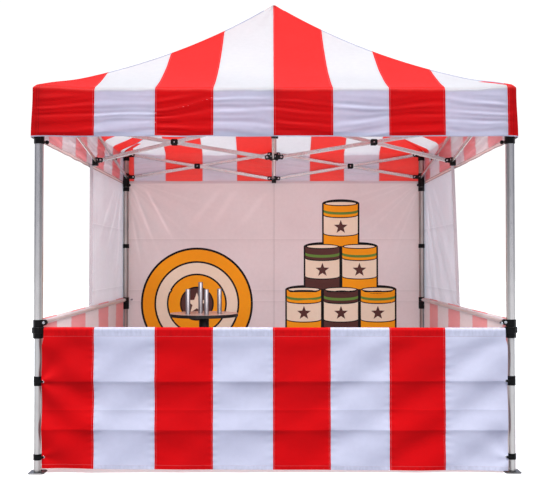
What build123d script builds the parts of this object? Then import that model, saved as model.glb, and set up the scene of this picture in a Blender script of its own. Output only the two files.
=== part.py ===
"""Carnival game booth on a folding canopy frame: striped roof, counter walls and a plain back wall.

Millimetres. +Z is up, the ground is z = 0, and the counter faces -Y. The plan is square, so what
repeats on the four sides or corners is made once at the front or front-left and turned about Z.
"""
import os
from math import atan, degrees, hypot, tan

from build123d import *

# Overall sizes
leg_spacing = 2944.0
canopy_overhang = 13.0
eave_height = 2390.0
peak_height = 3396.0
roof_sag = 99.0
valance_drop = 302.0
fabric = 3.0
fabric_gap = 0.3
overrun = 5.0

# Legs: an eight-sided outer tube with a smaller one sliding inside it
leg_sides = 8
outer_leg_across = 50.0
outer_leg_wall = 2.0
outer_leg_bottom = 850.0
inner_leg_across = 42.0
inner_leg_wall = 2.0
inner_leg_overlap = 600.0
seat_gap = 0.3
foot_plate_size = 100.0
foot_plate_thickness = 6.0
foot_corner = 12.0
foot_edge = 2.0

# Moulded collars on the legs
collar_wall = 4.0
collar_edge = 2.5
head_rise = 2.0
head_height = 87.0
head_cap = 20.0
head_edge = 6.0
slider_above = 36.0
slider_below = 100.0
slider_knob_drop = 84.0
slider_knob_reach = 48.0
slider_knob_radius = 13.0
slider_knob_length = 13.0
slider_knob_stem_radius = 6.0
lock_guide = 20.0
lock_height = 69.0
lock_flange_depth = 37.0
lock_flange_across = 72.0
clamp_gap = 0.5
clamp_height = 46.5

# Scissor trusses
bar_height = 32.0
bar_thickness = 16.0
bar_end = 15.0
bar_edge = 5.0
outer_bar_inset = 12.0
inner_bar_inset = 30.0
cross_bar_inset = 9.0
head_pivot_drop = 34.0
slider_pivot_rise = 54.0
corner_pivot_reach = 72.0
mid_upper_drop = 22.0
mid_lower_rise = 38.0
mid_pivot_reach = 46.0
hub_upper_rise = 65.0
hub_lower_rise = 62.0
hub_pivot_reach = 58.0
pin_sides = 6
pin_radius = 4.0
pin_gap = 0.3
lug_radius = 18.0
lug_corner = 9.0
lug_wall = 6.0
lug_slot_back = 20.0
mid_body_size = 44.0
mid_body_below = 44.0
mid_body_above = 22.0
mid_edge = 4.0
hub_radius = 34.0
hub_half_height = 26.0
pivot_plate_width = 58.0
pivot_plate_height = 48.0
pivot_plate_thickness = 5.0
pivot_plate_corner = 8.0

# Centre mast
mast_radius = 18.5
mast_tail_radius = 12.0
mast_tail = 124.0
cap_radius = 30.0
cap_tip_radius = 8.0
cap_skirt = 40.0

# Counter rails and their ends
rail_radius = 16.0
front_rail_drop = 30.0
rail_pivot_reach = 58.0
rail_start_reach = 84.0
rail_tongue_thickness = 12.0
rail_tongue_height = 20.0
rail_tongue_end = 10.0
rail_lug_wall = 5.0
rail_lug_radius = 11.0
rail_lug_corner = 5.0
rail_lug_slot_back = 14.0

# Walls
wall_clearance = 15.0
counter_gap = 2.0
side_wall_rise = 6.0
front_flap = 55.0
back_wall_lap = 16.0
left_wing_low_edge = 15.0
left_wing_top_edge = 56.0
right_wing_low_edge = -130.0
right_wing_top_edge = 190.0
wall_to_valance = 0.3

# Game table inside the booth and the pins that stand on it
table_x = -568.0
table_y = 0.0
table_height = 886.0
table_sides = 48
table_radius = 275.0
table_top_thickness = 26.0
table_post_radius = 40.0
table_base_radius = 210.0
table_base_rim = 14.0
table_base_height = 30.0
table_collar_radius = 60.0
game_pin_radius = 18.5
game_pin_sides = 16
game_pin_height = 200.0
tall_game_pin_height = 250.0
game_pin_places_share = ((-0.43, -0.42), (0.12, -0.6), (0.46, -0.1))
tall_game_pin_place_share = (-0.12, 0.2)

# Straps that tie the walls to the legs
strap_thickness = 3.0
low_strap_height = 97.0
low_strap_depth = 36.0
high_strap_height = 566.0
high_strap_depth = 58.0
band_thickness = 3.5
band_depth = 40.0
high_band_drop = 68.0
low_band_share = 0.467

# Worked out from the sizes above
half_legs = leg_spacing / 2
half_canopy = half_legs + outer_leg_across / 2 + canopy_overhang
roof_rise = peak_height - eave_height
valance_bottom = eave_height - valance_drop
head_top = eave_height + head_rise
head_bottom = head_top - head_height
outer_leg_top = head_top - head_cap
inner_leg_top = outer_leg_bottom + inner_leg_overlap
collar_across = outer_leg_across + 2 * (seat_gap + collar_wall)
lock_bottom = outer_leg_bottom - lock_guide
lock_top = lock_bottom + lock_height
lock_step = lock_top - lock_flange_depth
clamp_bottom = lock_top + clamp_gap
clamp_top = clamp_bottom + clamp_height
front_rail_height = lock_top - front_rail_drop
side_rail_height = (clamp_bottom + clamp_top) / 2
head_pivot_height = head_top - head_pivot_drop
slider_pivot_height = valance_bottom + slider_pivot_rise
slider_top = slider_pivot_height + slider_above
slider_bottom = slider_pivot_height - slider_below
mid_upper_pivot_height = eave_height - mid_upper_drop
mid_lower_pivot_height = valance_bottom + mid_lower_rise
hub_upper_pivot_height = eave_height + hub_upper_rise
hub_lower_pivot_height = valance_bottom + hub_lower_rise
lug_half_slot = bar_thickness / 2 + seat_gap
lug_half_width = lug_half_slot + lug_wall
pivot_bore = pin_radius + pin_gap
counter_half_width = half_legs - lock_flange_across / 2 - counter_gap
back_wall_top = valance_bottom + back_wall_lap
wall_face = half_canopy - fabric - wall_to_valance
high_band_height = valance_bottom - high_band_drop
low_band_height = lock_top + low_band_share * (valance_bottom - lock_top)
octagon_turn = 180 / leg_sides
right_angle = 90
side_angles = {"front": 0, "right": 90, "back": 180, "left": 270}
corner_angles = {"front_left": 0, "front_right": 90, "back_right": 180, "back_left": 270}


def save(part, name):
    """Labels a finished piece and writes it as its own file."""
    part.label = name
    export_step(part, f"parts/{name}.step")


def turned(part, angle):
    """A copy of a piece, turned about the booth's upright axis."""
    with BuildPart() as copy:
        add(part, rotation=(0, 0, angle))
    return copy.part


def octagon_prism(across, bottom, top, mode=Mode.ADD):
    """An eight-sided prism on the front-left leg's axis, with flats towards the sides."""
    with BuildSketch(Plane.XY.offset(bottom)) as shape:
        with Locations((-half_legs, -half_legs)):
            RegularPolygon(across / 2, leg_sides, major_radius=False, rotation=octagon_turn)
    extrude(shape.sketch, amount=top - bottom, mode=mode)


def lug_plane(pivot, along):
    """A plane through a pivot, with local x along the bar and local y up."""
    return Plane(origin=pivot, x_dir=along, z_dir=along.cross(Vector(0, 0, 1)))


def lug(pivot, along, root, radius, corner, half_width):
    """A solid ear from a fitting's body, root long, cut off at the corners past the pivot."""
    with BuildSketch(lug_plane(pivot, along)) as shape:
        with BuildLine():
            Polyline(
                (-root, -radius),
                (radius - corner, -radius),
                (radius, corner - radius),
                (radius, radius - corner),
                (radius - corner, radius),
                (-root, radius),
                close=True,
            )
        make_face()
    extrude(shape.sketch, amount=half_width, both=True)


def lug_slot(pivot, along, back, radius, half_slot):
    """Opens an ear into a fork, back behind the pivot."""
    reach = radius + overrun
    with BuildSketch(lug_plane(pivot, along)) as shape:
        with Locations(((reach - back) / 2, 0)):
            Rectangle(reach + back, 2 * reach)
    extrude(shape.sketch, amount=half_slot, both=True, mode=Mode.SUBTRACT)


def lug_pin(pivot, along, half_width):
    """The pivot pin across a fork."""
    with BuildSketch(lug_plane(pivot, along)) as shape:
        RegularPolygon(pin_radius, pin_sides)
    extrude(shape.sketch, amount=half_width, both=True)


def bar(start, end, crossing):
    """A truss bar between two pivots, bored at both and where its partner crosses it."""
    run = end - start
    along = run.normalized()
    level = Vector(run.X, run.Y, 0).normalized()
    across = level.cross(Vector(0, 0, 1))
    with BuildPart() as made:
        with BuildSketch(Plane(origin=start - along * bar_end, x_dir=across, z_dir=along)):
            chamfer(Rectangle(bar_thickness, bar_height).vertices(), bar_edge)
        extrude(amount=run.length + 2 * bar_end)
        with BuildSketch(Plane(origin=start, x_dir=along, z_dir=across)):
            with Locations((0, 0), (run.length, 0), ((crossing - start).dot(along), 0)):
                RegularPolygon(pivot_bore, pin_sides, major_radius=False)
        extrude(amount=bar_thickness, both=True, mode=Mode.SUBTRACT)
    return made.part


def crossing_point(start_a, end_a, start_b, end_b):
    """Where bar a, seen from the side, crosses bar b. The point lies on bar a."""
    level = Vector(end_a.X - start_a.X, end_a.Y - start_a.Y, 0).normalized()
    run_a = (end_a - start_a).dot(level)
    run_b = (end_b - start_b).dot(level)
    rise_a = (end_a.Z - start_a.Z) / run_a
    rise_b = (end_b.Z - start_b.Z) / run_b
    gap = (start_b - start_a).dot(level)
    reach = (start_b.Z - start_a.Z - rise_b * gap) / (rise_a - rise_b)
    return start_a + (end_a - start_a) * (reach / run_a)


def roof_profile(drop):
    """The roof's sagging line from eave to peak, lowered by drop, as three points in (y, z)."""
    middle = eave_height + roof_rise / 2 - roof_sag - drop
    return (-half_canopy, eave_height - drop), (-half_canopy / 2, middle), (0, peak_height - drop)


def keep_front_quarter():
    """Keeps only what lies in the front quarter of the plan, between the two hips."""
    with BuildSketch() as shape:
        with BuildLine():
            Polyline((0, 0), (-half_canopy, -half_canopy), (half_canopy, -half_canopy), close=True)
        make_face()
    extrude(shape.sketch, amount=peak_height + overrun, mode=Mode.INTERSECT)


def make_roof_panel():
    """The front roof panel: a sagging sheet, mitred along both hips."""
    with BuildPart() as panel:
        with BuildSketch(Plane.YZ):
            with BuildLine():
                top = ThreePointArc(*roof_profile(0))
                under = ThreePointArc(*roof_profile(fabric))
                Line(top @ 0, under @ 0)
                Line(top @ 1, under @ 1)
            make_face()
        extrude(amount=half_canopy, both=True)
        keep_front_quarter()
    return panel.part


def make_valance():
    """The front valance: a flat skirt below the eave, mitred at both corners."""
    outer = -half_canopy
    with BuildPart() as valance:
        with BuildSketch(Plane.YZ):
            with BuildLine():
                Polyline(
                    (outer, valance_bottom),
                    (outer + fabric, valance_bottom),
                    (outer + fabric, eave_height - fabric),
                    (outer, eave_height - fabric),
                    close=True,
                )
            make_face()
        extrude(amount=half_canopy, both=True)
        keep_front_quarter()
    return valance.part


def make_outer_leg():
    """The front-left outer tube, open at its lower end."""
    with BuildPart() as leg:
        octagon_prism(outer_leg_across, outer_leg_bottom, outer_leg_top)
        bore = outer_leg_across - 2 * outer_leg_wall
        octagon_prism(bore, outer_leg_bottom, outer_leg_top, Mode.SUBTRACT)
    return leg.part


def make_inner_leg():
    """The front-left sliding tube, standing on its foot plate."""
    with BuildPart() as leg:
        octagon_prism(inner_leg_across, foot_plate_thickness, inner_leg_top)
        bore = inner_leg_across - 2 * inner_leg_wall
        octagon_prism(bore, foot_plate_thickness, inner_leg_top, Mode.SUBTRACT)
    return leg.part


def make_foot_plate():
    """The front-left foot: a square plate with its corners cut off."""
    with BuildPart() as foot:
        with BuildSketch():
            with Locations((-half_legs, -half_legs)):
                chamfer(Rectangle(foot_plate_size, foot_plate_size).vertices(), foot_corner)
        extrude(amount=foot_plate_thickness)
        chamfer(foot.faces().sort_by(Axis.Z)[-1].outer_wire().edges(), foot_edge)
    return foot.part


def corner_pivots(height, inset):
    """Pivots of the two bars that meet at the front-left leg, and the way each bar runs."""
    along_front = Vector(-half_legs + corner_pivot_reach, -half_legs + inset, height)
    along_left = Vector(-half_legs + inset, -half_legs + corner_pivot_reach, height)
    return (along_front, Vector(1, 0, 0)), (along_left, Vector(0, 1, 0))


def add_forks(pivots, root):
    """Solid ears with open slots and no pins yet. The pins come after the body is bored."""
    for pivot, along in pivots:
        lug(pivot, along, root, lug_radius, lug_corner, lug_half_width)
    for pivot, along in pivots:
        lug_slot(pivot, along, lug_slot_back, lug_radius, lug_half_slot)


def add_pins(pivots):
    """The pins of several forks."""
    for pivot, along in pivots:
        lug_pin(pivot, along, lug_half_width)


def make_leg_head():
    """The front-left leg's head: a capped socket with a fork for each upper truss bar."""
    pivots = corner_pivots(head_pivot_height, inner_bar_inset)
    with BuildPart() as head:
        octagon_prism(collar_across, head_bottom, head_top)
        chamfer(head.faces().sort_by(Axis.Z)[-1].edges(), head_edge)
        add_forks(pivots, corner_pivot_reach)
        octagon_prism(outer_leg_across + 2 * seat_gap, head_bottom - overrun, outer_leg_top, Mode.SUBTRACT)
        add_pins(pivots)
    return head.part


def make_slider():
    """The front-left slider: a collar round the leg with two forks and a pull knob."""
    pivots = corner_pivots(slider_pivot_height, outer_bar_inset)
    inward = Vector(1, 1, 0).normalized()
    knob_centre = Vector(-half_legs, -half_legs, slider_pivot_height - slider_knob_drop)
    with BuildPart() as slider:
        octagon_prism(collar_across, slider_bottom, slider_top)
        chamfer(slider.faces().filter_by(Plane.XY).edges(), collar_edge)
        with BuildSketch(Plane(origin=knob_centre, x_dir=(0, 0, 1), z_dir=inward)):
            RegularPolygon(slider_knob_stem_radius, leg_sides)
        extrude(amount=slider_knob_reach)
        knob_face = knob_centre + inward * slider_knob_reach
        with BuildSketch(Plane(origin=knob_face, x_dir=(0, 0, 1), z_dir=inward)):
            RegularPolygon(slider_knob_radius, leg_sides)
        extrude(amount=slider_knob_length)
        add_forks(pivots, corner_pivot_reach)
        bore = outer_leg_across + 2 * seat_gap
        octagon_prism(bore, slider_bottom - overrun, slider_top + overrun, Mode.SUBTRACT)
        add_pins(pivots)
    return slider.part


def rail_pivot(height, along):
    """Pivot of a counter rail at the front-left leg."""
    return Vector(-half_legs, -half_legs, height) + along * rail_pivot_reach


def add_rail_fork(height, along):
    """A fork that takes a counter rail's tongue."""
    half_slot = rail_tongue_thickness / 2 + seat_gap
    pivot = rail_pivot(height, along)
    lug(pivot, along, rail_pivot_reach, rail_lug_radius, rail_lug_corner, half_slot + rail_lug_wall)
    lug_slot(pivot, along, rail_lug_slot_back, rail_lug_radius, half_slot)


def add_rail_pin(height, along):
    """The bolt through a counter rail's tongue."""
    lug_pin(rail_pivot(height, along), along, rail_tongue_thickness / 2 + seat_gap + rail_lug_wall)


def make_leg_lock(with_rail):
    """The collar at the outer leg's lower end. On a front leg it is flanged and carries the front rail."""
    along = Vector(1, 0, 0)
    with BuildPart() as lock:
        octagon_prism(collar_across, lock_bottom, lock_top)
        if with_rail:
            octagon_prism(lock_flange_across, lock_step, lock_top)
        chamfer(lock.faces().filter_by(Plane.XY).edges(), collar_edge)
        if with_rail:
            add_rail_fork(front_rail_height, along)
        octagon_prism(outer_leg_across + 2 * seat_gap, outer_leg_bottom, lock_top + overrun, Mode.SUBTRACT)
        octagon_prism(inner_leg_across + 2 * seat_gap, lock_bottom - overrun, lock_top, Mode.SUBTRACT)
        if with_rail:
            add_rail_pin(front_rail_height, along)
    return lock.part


def make_rail_clamp():
    """The front-left clamp that carries the left counter rail."""
    along = Vector(0, 1, 0)
    with BuildPart() as clamp:
        octagon_prism(collar_across, clamp_bottom, clamp_top)
        chamfer(clamp.faces().filter_by(Plane.XY).edges(), collar_edge)
        add_rail_fork(side_rail_height, along)
        bore = outer_leg_across + 2 * seat_gap
        octagon_prism(bore, clamp_bottom - overrun, clamp_top + overrun, Mode.SUBTRACT)
        add_rail_pin(side_rail_height, along)
    return clamp.part


def make_strap_pair():
    """The two straps that tie a counter wall to the front-left inner leg."""
    bore = inner_leg_across + 2 * seat_gap
    with BuildPart() as straps:
        for height, depth in ((low_strap_height, low_strap_depth), (high_strap_height, high_strap_depth)):
            octagon_prism(bore + 2 * strap_thickness, height - depth / 2, height + depth / 2)
        octagon_prism(bore, 0, inner_leg_top, Mode.SUBTRACT)
    return straps.part


def make_wall_bands():
    """The two bands that tie the back wall to an outer leg, at the front-left place before turning."""
    bore = outer_leg_across + 2 * seat_gap
    with BuildPart() as bands:
        for height in (low_band_height, high_band_height):
            octagon_prism(bore + 2 * band_thickness, height - band_depth / 2, height + band_depth / 2)
        octagon_prism(bore, outer_leg_bottom, outer_leg_top, Mode.SUBTRACT)
    return bands.part


def mid_pivot(side, height, inset):
    """Pivot of a front truss bar at the mid connector, side -1 to the left or 1 to the right."""
    return Vector(side * mid_pivot_reach, -half_legs + inset, height)


def mid_cross_pivot(height, inset):
    """Pivot of a cross truss bar at the front mid connector."""
    centre = -half_legs + (outer_bar_inset + inner_bar_inset) / 2
    return Vector(inset, centre + mid_pivot_reach, height)


def hub_pivot(height, inset):
    """Pivot of the front cross truss bar at a hub on the mast."""
    return Vector(inset, -hub_pivot_reach, height)


def front_bar_ends(side):
    """Ends of the two bars on one half of the front truss: head to mid lower, slider to mid upper."""
    corner = Vector(side * (half_legs - corner_pivot_reach), -half_legs, 0)
    head = corner + Vector(0, inner_bar_inset, head_pivot_height)
    slider = corner + Vector(0, outer_bar_inset, slider_pivot_height)
    lower = mid_pivot(side, mid_lower_pivot_height, inner_bar_inset)
    upper = mid_pivot(side, mid_upper_pivot_height, outer_bar_inset)
    return (head, lower), (slider, upper)


def cross_bar_ends():
    """Ends of the front cross truss's two bars: mid lower to upper hub, mid upper to lower hub."""
    low_mid = mid_cross_pivot(mid_lower_pivot_height, cross_bar_inset)
    high_hub = hub_pivot(hub_upper_pivot_height, cross_bar_inset)
    high_mid = mid_cross_pivot(mid_upper_pivot_height, -cross_bar_inset)
    low_hub = hub_pivot(hub_lower_pivot_height, -cross_bar_inset)
    return (low_mid, high_hub), (high_mid, low_hub)


def bar_pair(first, second):
    """The two bars of one scissor, as a list."""
    return [
        bar(*first, crossing_point(*first, *second)),
        bar(*second, crossing_point(*second, *first)),
    ]


def make_front_truss():
    """The four bars of the front truss."""
    with BuildPart() as truss:
        for side in (-1, 1):
            add(bar_pair(*front_bar_ends(side)))
    return truss.part


def make_front_cross_truss():
    """The two bars from the front truss's middle to the mast."""
    with BuildPart() as truss:
        add(bar_pair(*cross_bar_ends()))
    return truss.part


def make_pivot_block(first, second):
    """A scissor's pivot: a pin with a square plate outside each bar."""
    start = crossing_point(*first, *second)
    finish = crossing_point(*second, *first)
    across = (finish - start).normalized()
    level = Vector(0, 0, 1).cross(across)
    outside = bar_thickness / 2 + seat_gap
    low = start - across * (outside + pivot_plate_thickness)
    high = finish + across * outside
    with BuildPart() as block:
        for origin in (low, high):
            with BuildSketch(Plane(origin=origin, x_dir=level, z_dir=across)):
                chamfer(Rectangle(pivot_plate_width, pivot_plate_height).vertices(), pivot_plate_corner)
            extrude(amount=pivot_plate_thickness)
        with BuildSketch(Plane(origin=low, x_dir=level, z_dir=across)):
            RegularPolygon(pin_radius, pin_sides)
        extrude(amount=(high - low).length)
    return block.part


def make_mid_connector(height, bar_inset, cross_inset):
    """A front mid connector: a block with a fork each way along the truss and one towards the mast."""
    centre = -half_legs + (outer_bar_inset + inner_bar_inset) / 2
    pivots = [
        (mid_pivot(-1, height, bar_inset), Vector(-1, 0, 0)),
        (mid_pivot(1, height, bar_inset), Vector(1, 0, 0)),
        (mid_cross_pivot(height, cross_inset), Vector(0, 1, 0)),
    ]
    with BuildPart() as connector:
        with BuildSketch(Plane.XY.offset(height - mid_body_below)):
            with Locations((0, centre)):
                chamfer(Rectangle(mid_body_size, mid_body_size).vertices(), mid_edge)
        extrude(amount=mid_body_below + mid_body_above)
        add_forks(pivots, mid_pivot_reach)
        add_pins(pivots)
    return connector.part


def make_hub(height, cross_inset, bore_radius):
    """A hub on the mast with a fork towards each side."""
    pivot = hub_pivot(height, cross_inset)
    pivots = []
    for angle in side_angles.values():
        pivots.append((pivot.rotate(Axis.Z, angle), Vector(0, -1, 0).rotate(Axis.Z, angle)))
    with BuildPart() as hub:
        with BuildSketch(Plane.XY.offset(height - hub_half_height)):
            RegularPolygon(hub_radius, leg_sides, rotation=octagon_turn)
        extrude(amount=2 * hub_half_height)
        add_forks(pivots, hub_pivot_reach)
        with BuildSketch(Plane.XY.offset(height - hub_half_height - overrun)):
            RegularPolygon(bore_radius + seat_gap, leg_sides, major_radius=False, rotation=octagon_turn)
        extrude(amount=2 * (hub_half_height + overrun), mode=Mode.SUBTRACT)
        add_pins(pivots)
    return hub.part


def peak_slope():
    """Slope of the roof panels at the peak, where their sagging arc ends."""
    chord = hypot(half_canopy, roof_rise)
    sagitta = roof_sag * half_canopy / chord
    return atan(roof_rise / half_canopy) + 2 * atan(2 * sagitta / chord)


def cap_height(radius):
    """Height of the peak cap at a radius, just under the four roof panels."""
    return peak_height - fabric - fabric_gap - radius * tan(peak_slope())


def cap_bottom():
    """Height of the peak cap's underside, where it stands on the mast."""
    return cap_height(cap_radius) - cap_skirt


def make_mast():
    """The centre mast: a tube up to the peak cap with a thinner tail below the lower hub."""
    step = hub_lower_pivot_height - hub_half_height
    with BuildPart() as mast:
        with BuildSketch(Plane.XY.offset(step - mast_tail)):
            Circle(mast_tail_radius)
        extrude(amount=mast_tail)
        with BuildSketch(Plane.XY.offset(step)):
            Circle(mast_radius)
        extrude(amount=cap_bottom() - step)
    return mast.part


def make_peak_cap():
    """The cap that lifts the roof's peak: an upright skirt with a tapered top, seated on the mast."""
    with BuildPart() as cap:
        with BuildSketch(Plane.XY.offset(cap_bottom())):
            RegularPolygon(cap_radius, leg_sides, major_radius=False, rotation=octagon_turn)
        extrude(amount=cap_skirt)
        with BuildSketch(Plane.XY.offset(cap_height(cap_radius))):
            RegularPolygon(cap_radius, leg_sides, major_radius=False, rotation=octagon_turn)
        rise = cap_height(cap_tip_radius) - cap_height(cap_radius)
        extrude(amount=rise, taper=right_angle - degrees(peak_slope()))
    return cap.part


def make_rail(height):
    """A counter rail between the two front legs' forks, with a flat tongue at each end."""
    half_length = half_legs - rail_start_reach
    tongue_half_length = half_legs - rail_pivot_reach + rail_tongue_end
    with BuildPart() as rail:
        with BuildSketch(Plane.YZ.offset(-half_length)):
            with Locations((-half_legs, height)):
                Circle(rail_radius)
        extrude(amount=2 * half_length)
        with BuildSketch(Plane.XZ.offset(half_legs)):
            with Locations((0, height)):
                Rectangle(2 * tongue_half_length, rail_tongue_height)
        extrude(amount=rail_tongue_thickness / 2, both=True)
        with BuildSketch(Plane.XZ.offset(half_legs)):
            with Locations((rail_pivot_reach - half_legs, height), (half_legs - rail_pivot_reach, height)):
                RegularPolygon(pivot_bore, pin_sides, major_radius=False)
        extrude(amount=rail_tongue_thickness, both=True, mode=Mode.SUBTRACT)
    return rail.part


def make_front_wall():
    """The front counter wall: a sheet outside the rail, folded over it to a short flap inside."""
    inner = rail_radius + fabric_gap
    outer = inner + fabric
    top = front_rail_height
    with BuildPart() as wall:
        with BuildSketch(Plane.YZ):
            with BuildLine():
                fold_out = CenterArc((-half_legs, top), outer, 0, 180)
                Line(fold_out @ 1, (-half_legs - outer, wall_clearance))
                Line((-half_legs - outer, wall_clearance), (-half_legs - inner, wall_clearance))
                Line((-half_legs - inner, wall_clearance), (-half_legs - inner, top))
                fold_in = CenterArc((-half_legs, top), inner, 0, 180)
                Line(fold_in @ 0, (-half_legs + inner, top - front_flap))
                Line((-half_legs + inner, top - front_flap), (-half_legs + outer, top - front_flap))
                Line((-half_legs + outer, top - front_flap), fold_out @ 0)
            make_face()
        extrude(amount=counter_half_width, both=True)
    return wall.part


def make_side_wall():
    """The left counter wall, made at the front before turning: a sheet hung outside its rail."""
    top = side_rail_height + rail_radius + side_wall_rise
    with BuildPart() as wall:
        with BuildSketch(Plane.XZ.offset(half_legs + rail_radius + fabric_gap)):
            with Locations((0, (wall_clearance + top) / 2)):
                Rectangle(2 * counter_half_width, top - wall_clearance)
        extrude(amount=fabric)
    return wall.part


def make_back_wall():
    """The full-height back wall, hung inside the back valance and outside the legs."""
    with BuildPart() as wall:
        with BuildSketch(Plane.XZ.offset(-wall_face)):
            with Locations((0, (wall_clearance + back_wall_top) / 2)):
                Rectangle(2 * wall_face, back_wall_top - wall_clearance)
        extrude(amount=fabric)
    return wall.part


def make_wing(side, low_edge, top_edge):
    """A wing of the back wall along one side, from the back corner to its free edge."""
    back = wall_face - fabric
    with BuildPart() as wing:
        with BuildSketch(Plane.YZ.offset(side * (wall_face - fabric / 2))):
            with BuildLine():
                Polyline(
                    (low_edge, wall_clearance),
                    (back, wall_clearance),
                    (back, back_wall_top),
                    (top_edge, back_wall_top),
                    close=True,
                )
            make_face()
        extrude(amount=fabric / 2, both=True)
    return wing.part


def make_table_top():
    """The game table's round top."""
    with BuildPart() as top:
        with BuildSketch(Plane.XY.offset(table_height - table_top_thickness)):
            with Locations((table_x, table_y)):
                RegularPolygon(table_radius, table_sides)
        extrude(amount=table_top_thickness)
    return top.part


def make_table_post():
    """The game table's post, from its base to the underside of its top."""
    with BuildPart() as post:
        with BuildSketch(Plane.XY.offset(table_base_height)):
            with Locations((table_x, table_y)):
                Circle(table_post_radius)
        extrude(amount=table_height - table_top_thickness - table_base_height)
    return post.part


def make_table_base():
    """The game table's round base, with a collar round the foot of the post."""
    with BuildPart() as base:
        with BuildSketch():
            with Locations((table_x, table_y)):
                RegularPolygon(table_base_radius, table_sides)
        extrude(amount=table_base_rim)
        with BuildSketch():
            with Locations((table_x, table_y)):
                RegularPolygon(table_collar_radius, table_sides)
        extrude(amount=table_base_height)
    return base.part


def make_game_pins():
    """The metal pins that stand on the table, one of them taller."""
    places = [(*share, game_pin_height) for share in game_pin_places_share]
    places.append((*tall_game_pin_place_share, tall_game_pin_height))
    with BuildPart() as pins:
        for x_share, y_share, height in places:
            with BuildSketch(Plane.XY.offset(table_height)):
                with Locations((table_x + x_share * table_radius, table_y + y_share * table_radius)):
                    RegularPolygon(game_pin_radius, game_pin_sides)
            extrude(amount=height)
    return pins.part


def main():
    os.makedirs("parts", exist_ok=True)

    roof_panel = make_roof_panel()
    valance = make_valance()
    truss = make_front_truss()
    for name, angle in side_angles.items():
        save(turned(roof_panel, angle), f"{name}_roof_panel")
        save(turned(valance, angle), f"{name}_valance")
        save(turned(truss, angle), f"{name}_truss_bars")

    outer_leg = make_outer_leg()
    inner_leg = make_inner_leg()
    foot = make_foot_plate()
    straps = make_strap_pair()
    for name, angle in corner_angles.items():
        save(turned(outer_leg, angle), f"{name}_outer_leg")
        save(turned(inner_leg, angle), f"{name}_inner_leg")
        save(turned(foot, angle), f"{name}_foot_plate")
        save(turned(straps, angle), f"{name}_leg_straps")

    repeated = {
        "leg_heads": [make_leg_head()],
        "leg_sliders": [make_slider()],
        "cross_truss_bars": [make_front_cross_truss()],
        "truss_pivots": [make_pivot_block(*front_bar_ends(-1)), make_pivot_block(*front_bar_ends(1)),
                         make_pivot_block(*cross_bar_ends())],
        "truss_mid_connectors": [make_mid_connector(mid_upper_pivot_height, outer_bar_inset, -cross_bar_inset),
                                 make_mid_connector(mid_lower_pivot_height, inner_bar_inset, cross_bar_inset)],
    }
    for name, pieces in repeated.items():
        with BuildPart() as group:
            with PolarLocations(0, len(side_angles)):
                add(pieces)
        save(group.part, name)

    front_lock = make_leg_lock(True)
    back_lock = make_leg_lock(False)
    clamp = make_rail_clamp()
    bands = make_wall_bands()
    with BuildPart() as locks:
        add(front_lock)
        add(mirror(front_lock, about=Plane.YZ, mode=Mode.PRIVATE))
        add(back_lock, rotation=(0, 0, corner_angles["back_right"]))
        add(back_lock, rotation=(0, 0, corner_angles["back_left"]))
    save(locks.part, "leg_locks")
    with BuildPart() as clamps:
        add(clamp)
        mirror(about=Plane.YZ)
        mirror(about=Plane.XZ)
    save(clamps.part, "rail_clamps")
    with BuildPart() as back_bands:
        add(bands, rotation=(0, 0, corner_angles["back_right"]))
        add(bands, rotation=(0, 0, corner_angles["back_left"]))
    save(back_bands.part, "back_wall_bands")

    with BuildPart() as hubs:
        add(make_hub(hub_upper_pivot_height, cross_bar_inset, mast_radius))
        add(make_hub(hub_lower_pivot_height, -cross_bar_inset, mast_radius))
    save(hubs.part, "mast_hubs")
    save(make_mast(), "centre_mast")
    save(make_peak_cap(), "peak_cap")

    save(make_rail(front_rail_height), "front_rail")
    save(turned(make_rail(side_rail_height), side_angles["left"]), "left_rail")
    save(turned(make_rail(side_rail_height), side_angles["right"]), "right_rail")
    save(make_front_wall(), "front_counter_wall")
    save(turned(make_side_wall(), side_angles["left"]), "left_counter_wall")
    save(turned(make_side_wall(), side_angles["right"]), "right_counter_wall")
    save(make_table_top(), "game_table_top")
    save(make_table_post(), "game_table_post")
    save(make_table_base(), "game_table_base")
    save(make_game_pins(), "game_pins")
    save(make_back_wall(), "back_wall")
    save(make_wing(-1, left_wing_low_edge, left_wing_top_edge), "left_back_wing")
    save(make_wing(1, right_wing_low_edge, right_wing_top_edge), "right_back_wing")


main()
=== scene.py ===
import math
import random
import re

import bmesh
import bpy
import numpy as np
from mathutils import Matrix, Vector


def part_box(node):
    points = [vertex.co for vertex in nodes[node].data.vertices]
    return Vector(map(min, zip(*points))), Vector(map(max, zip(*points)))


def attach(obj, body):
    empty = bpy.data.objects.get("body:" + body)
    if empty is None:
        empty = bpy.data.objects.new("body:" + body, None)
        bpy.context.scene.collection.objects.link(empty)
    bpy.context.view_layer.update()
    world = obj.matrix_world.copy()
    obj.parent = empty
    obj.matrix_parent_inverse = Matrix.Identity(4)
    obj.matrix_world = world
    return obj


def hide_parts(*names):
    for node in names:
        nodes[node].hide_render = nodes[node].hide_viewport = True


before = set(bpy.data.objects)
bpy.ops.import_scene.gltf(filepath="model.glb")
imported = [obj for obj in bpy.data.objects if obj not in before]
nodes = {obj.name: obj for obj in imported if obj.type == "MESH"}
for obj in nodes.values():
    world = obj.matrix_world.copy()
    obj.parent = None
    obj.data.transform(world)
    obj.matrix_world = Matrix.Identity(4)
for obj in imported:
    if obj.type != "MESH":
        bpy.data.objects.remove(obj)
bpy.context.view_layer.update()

body = "booth"
sharp_angle = math.radians(38)

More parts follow.
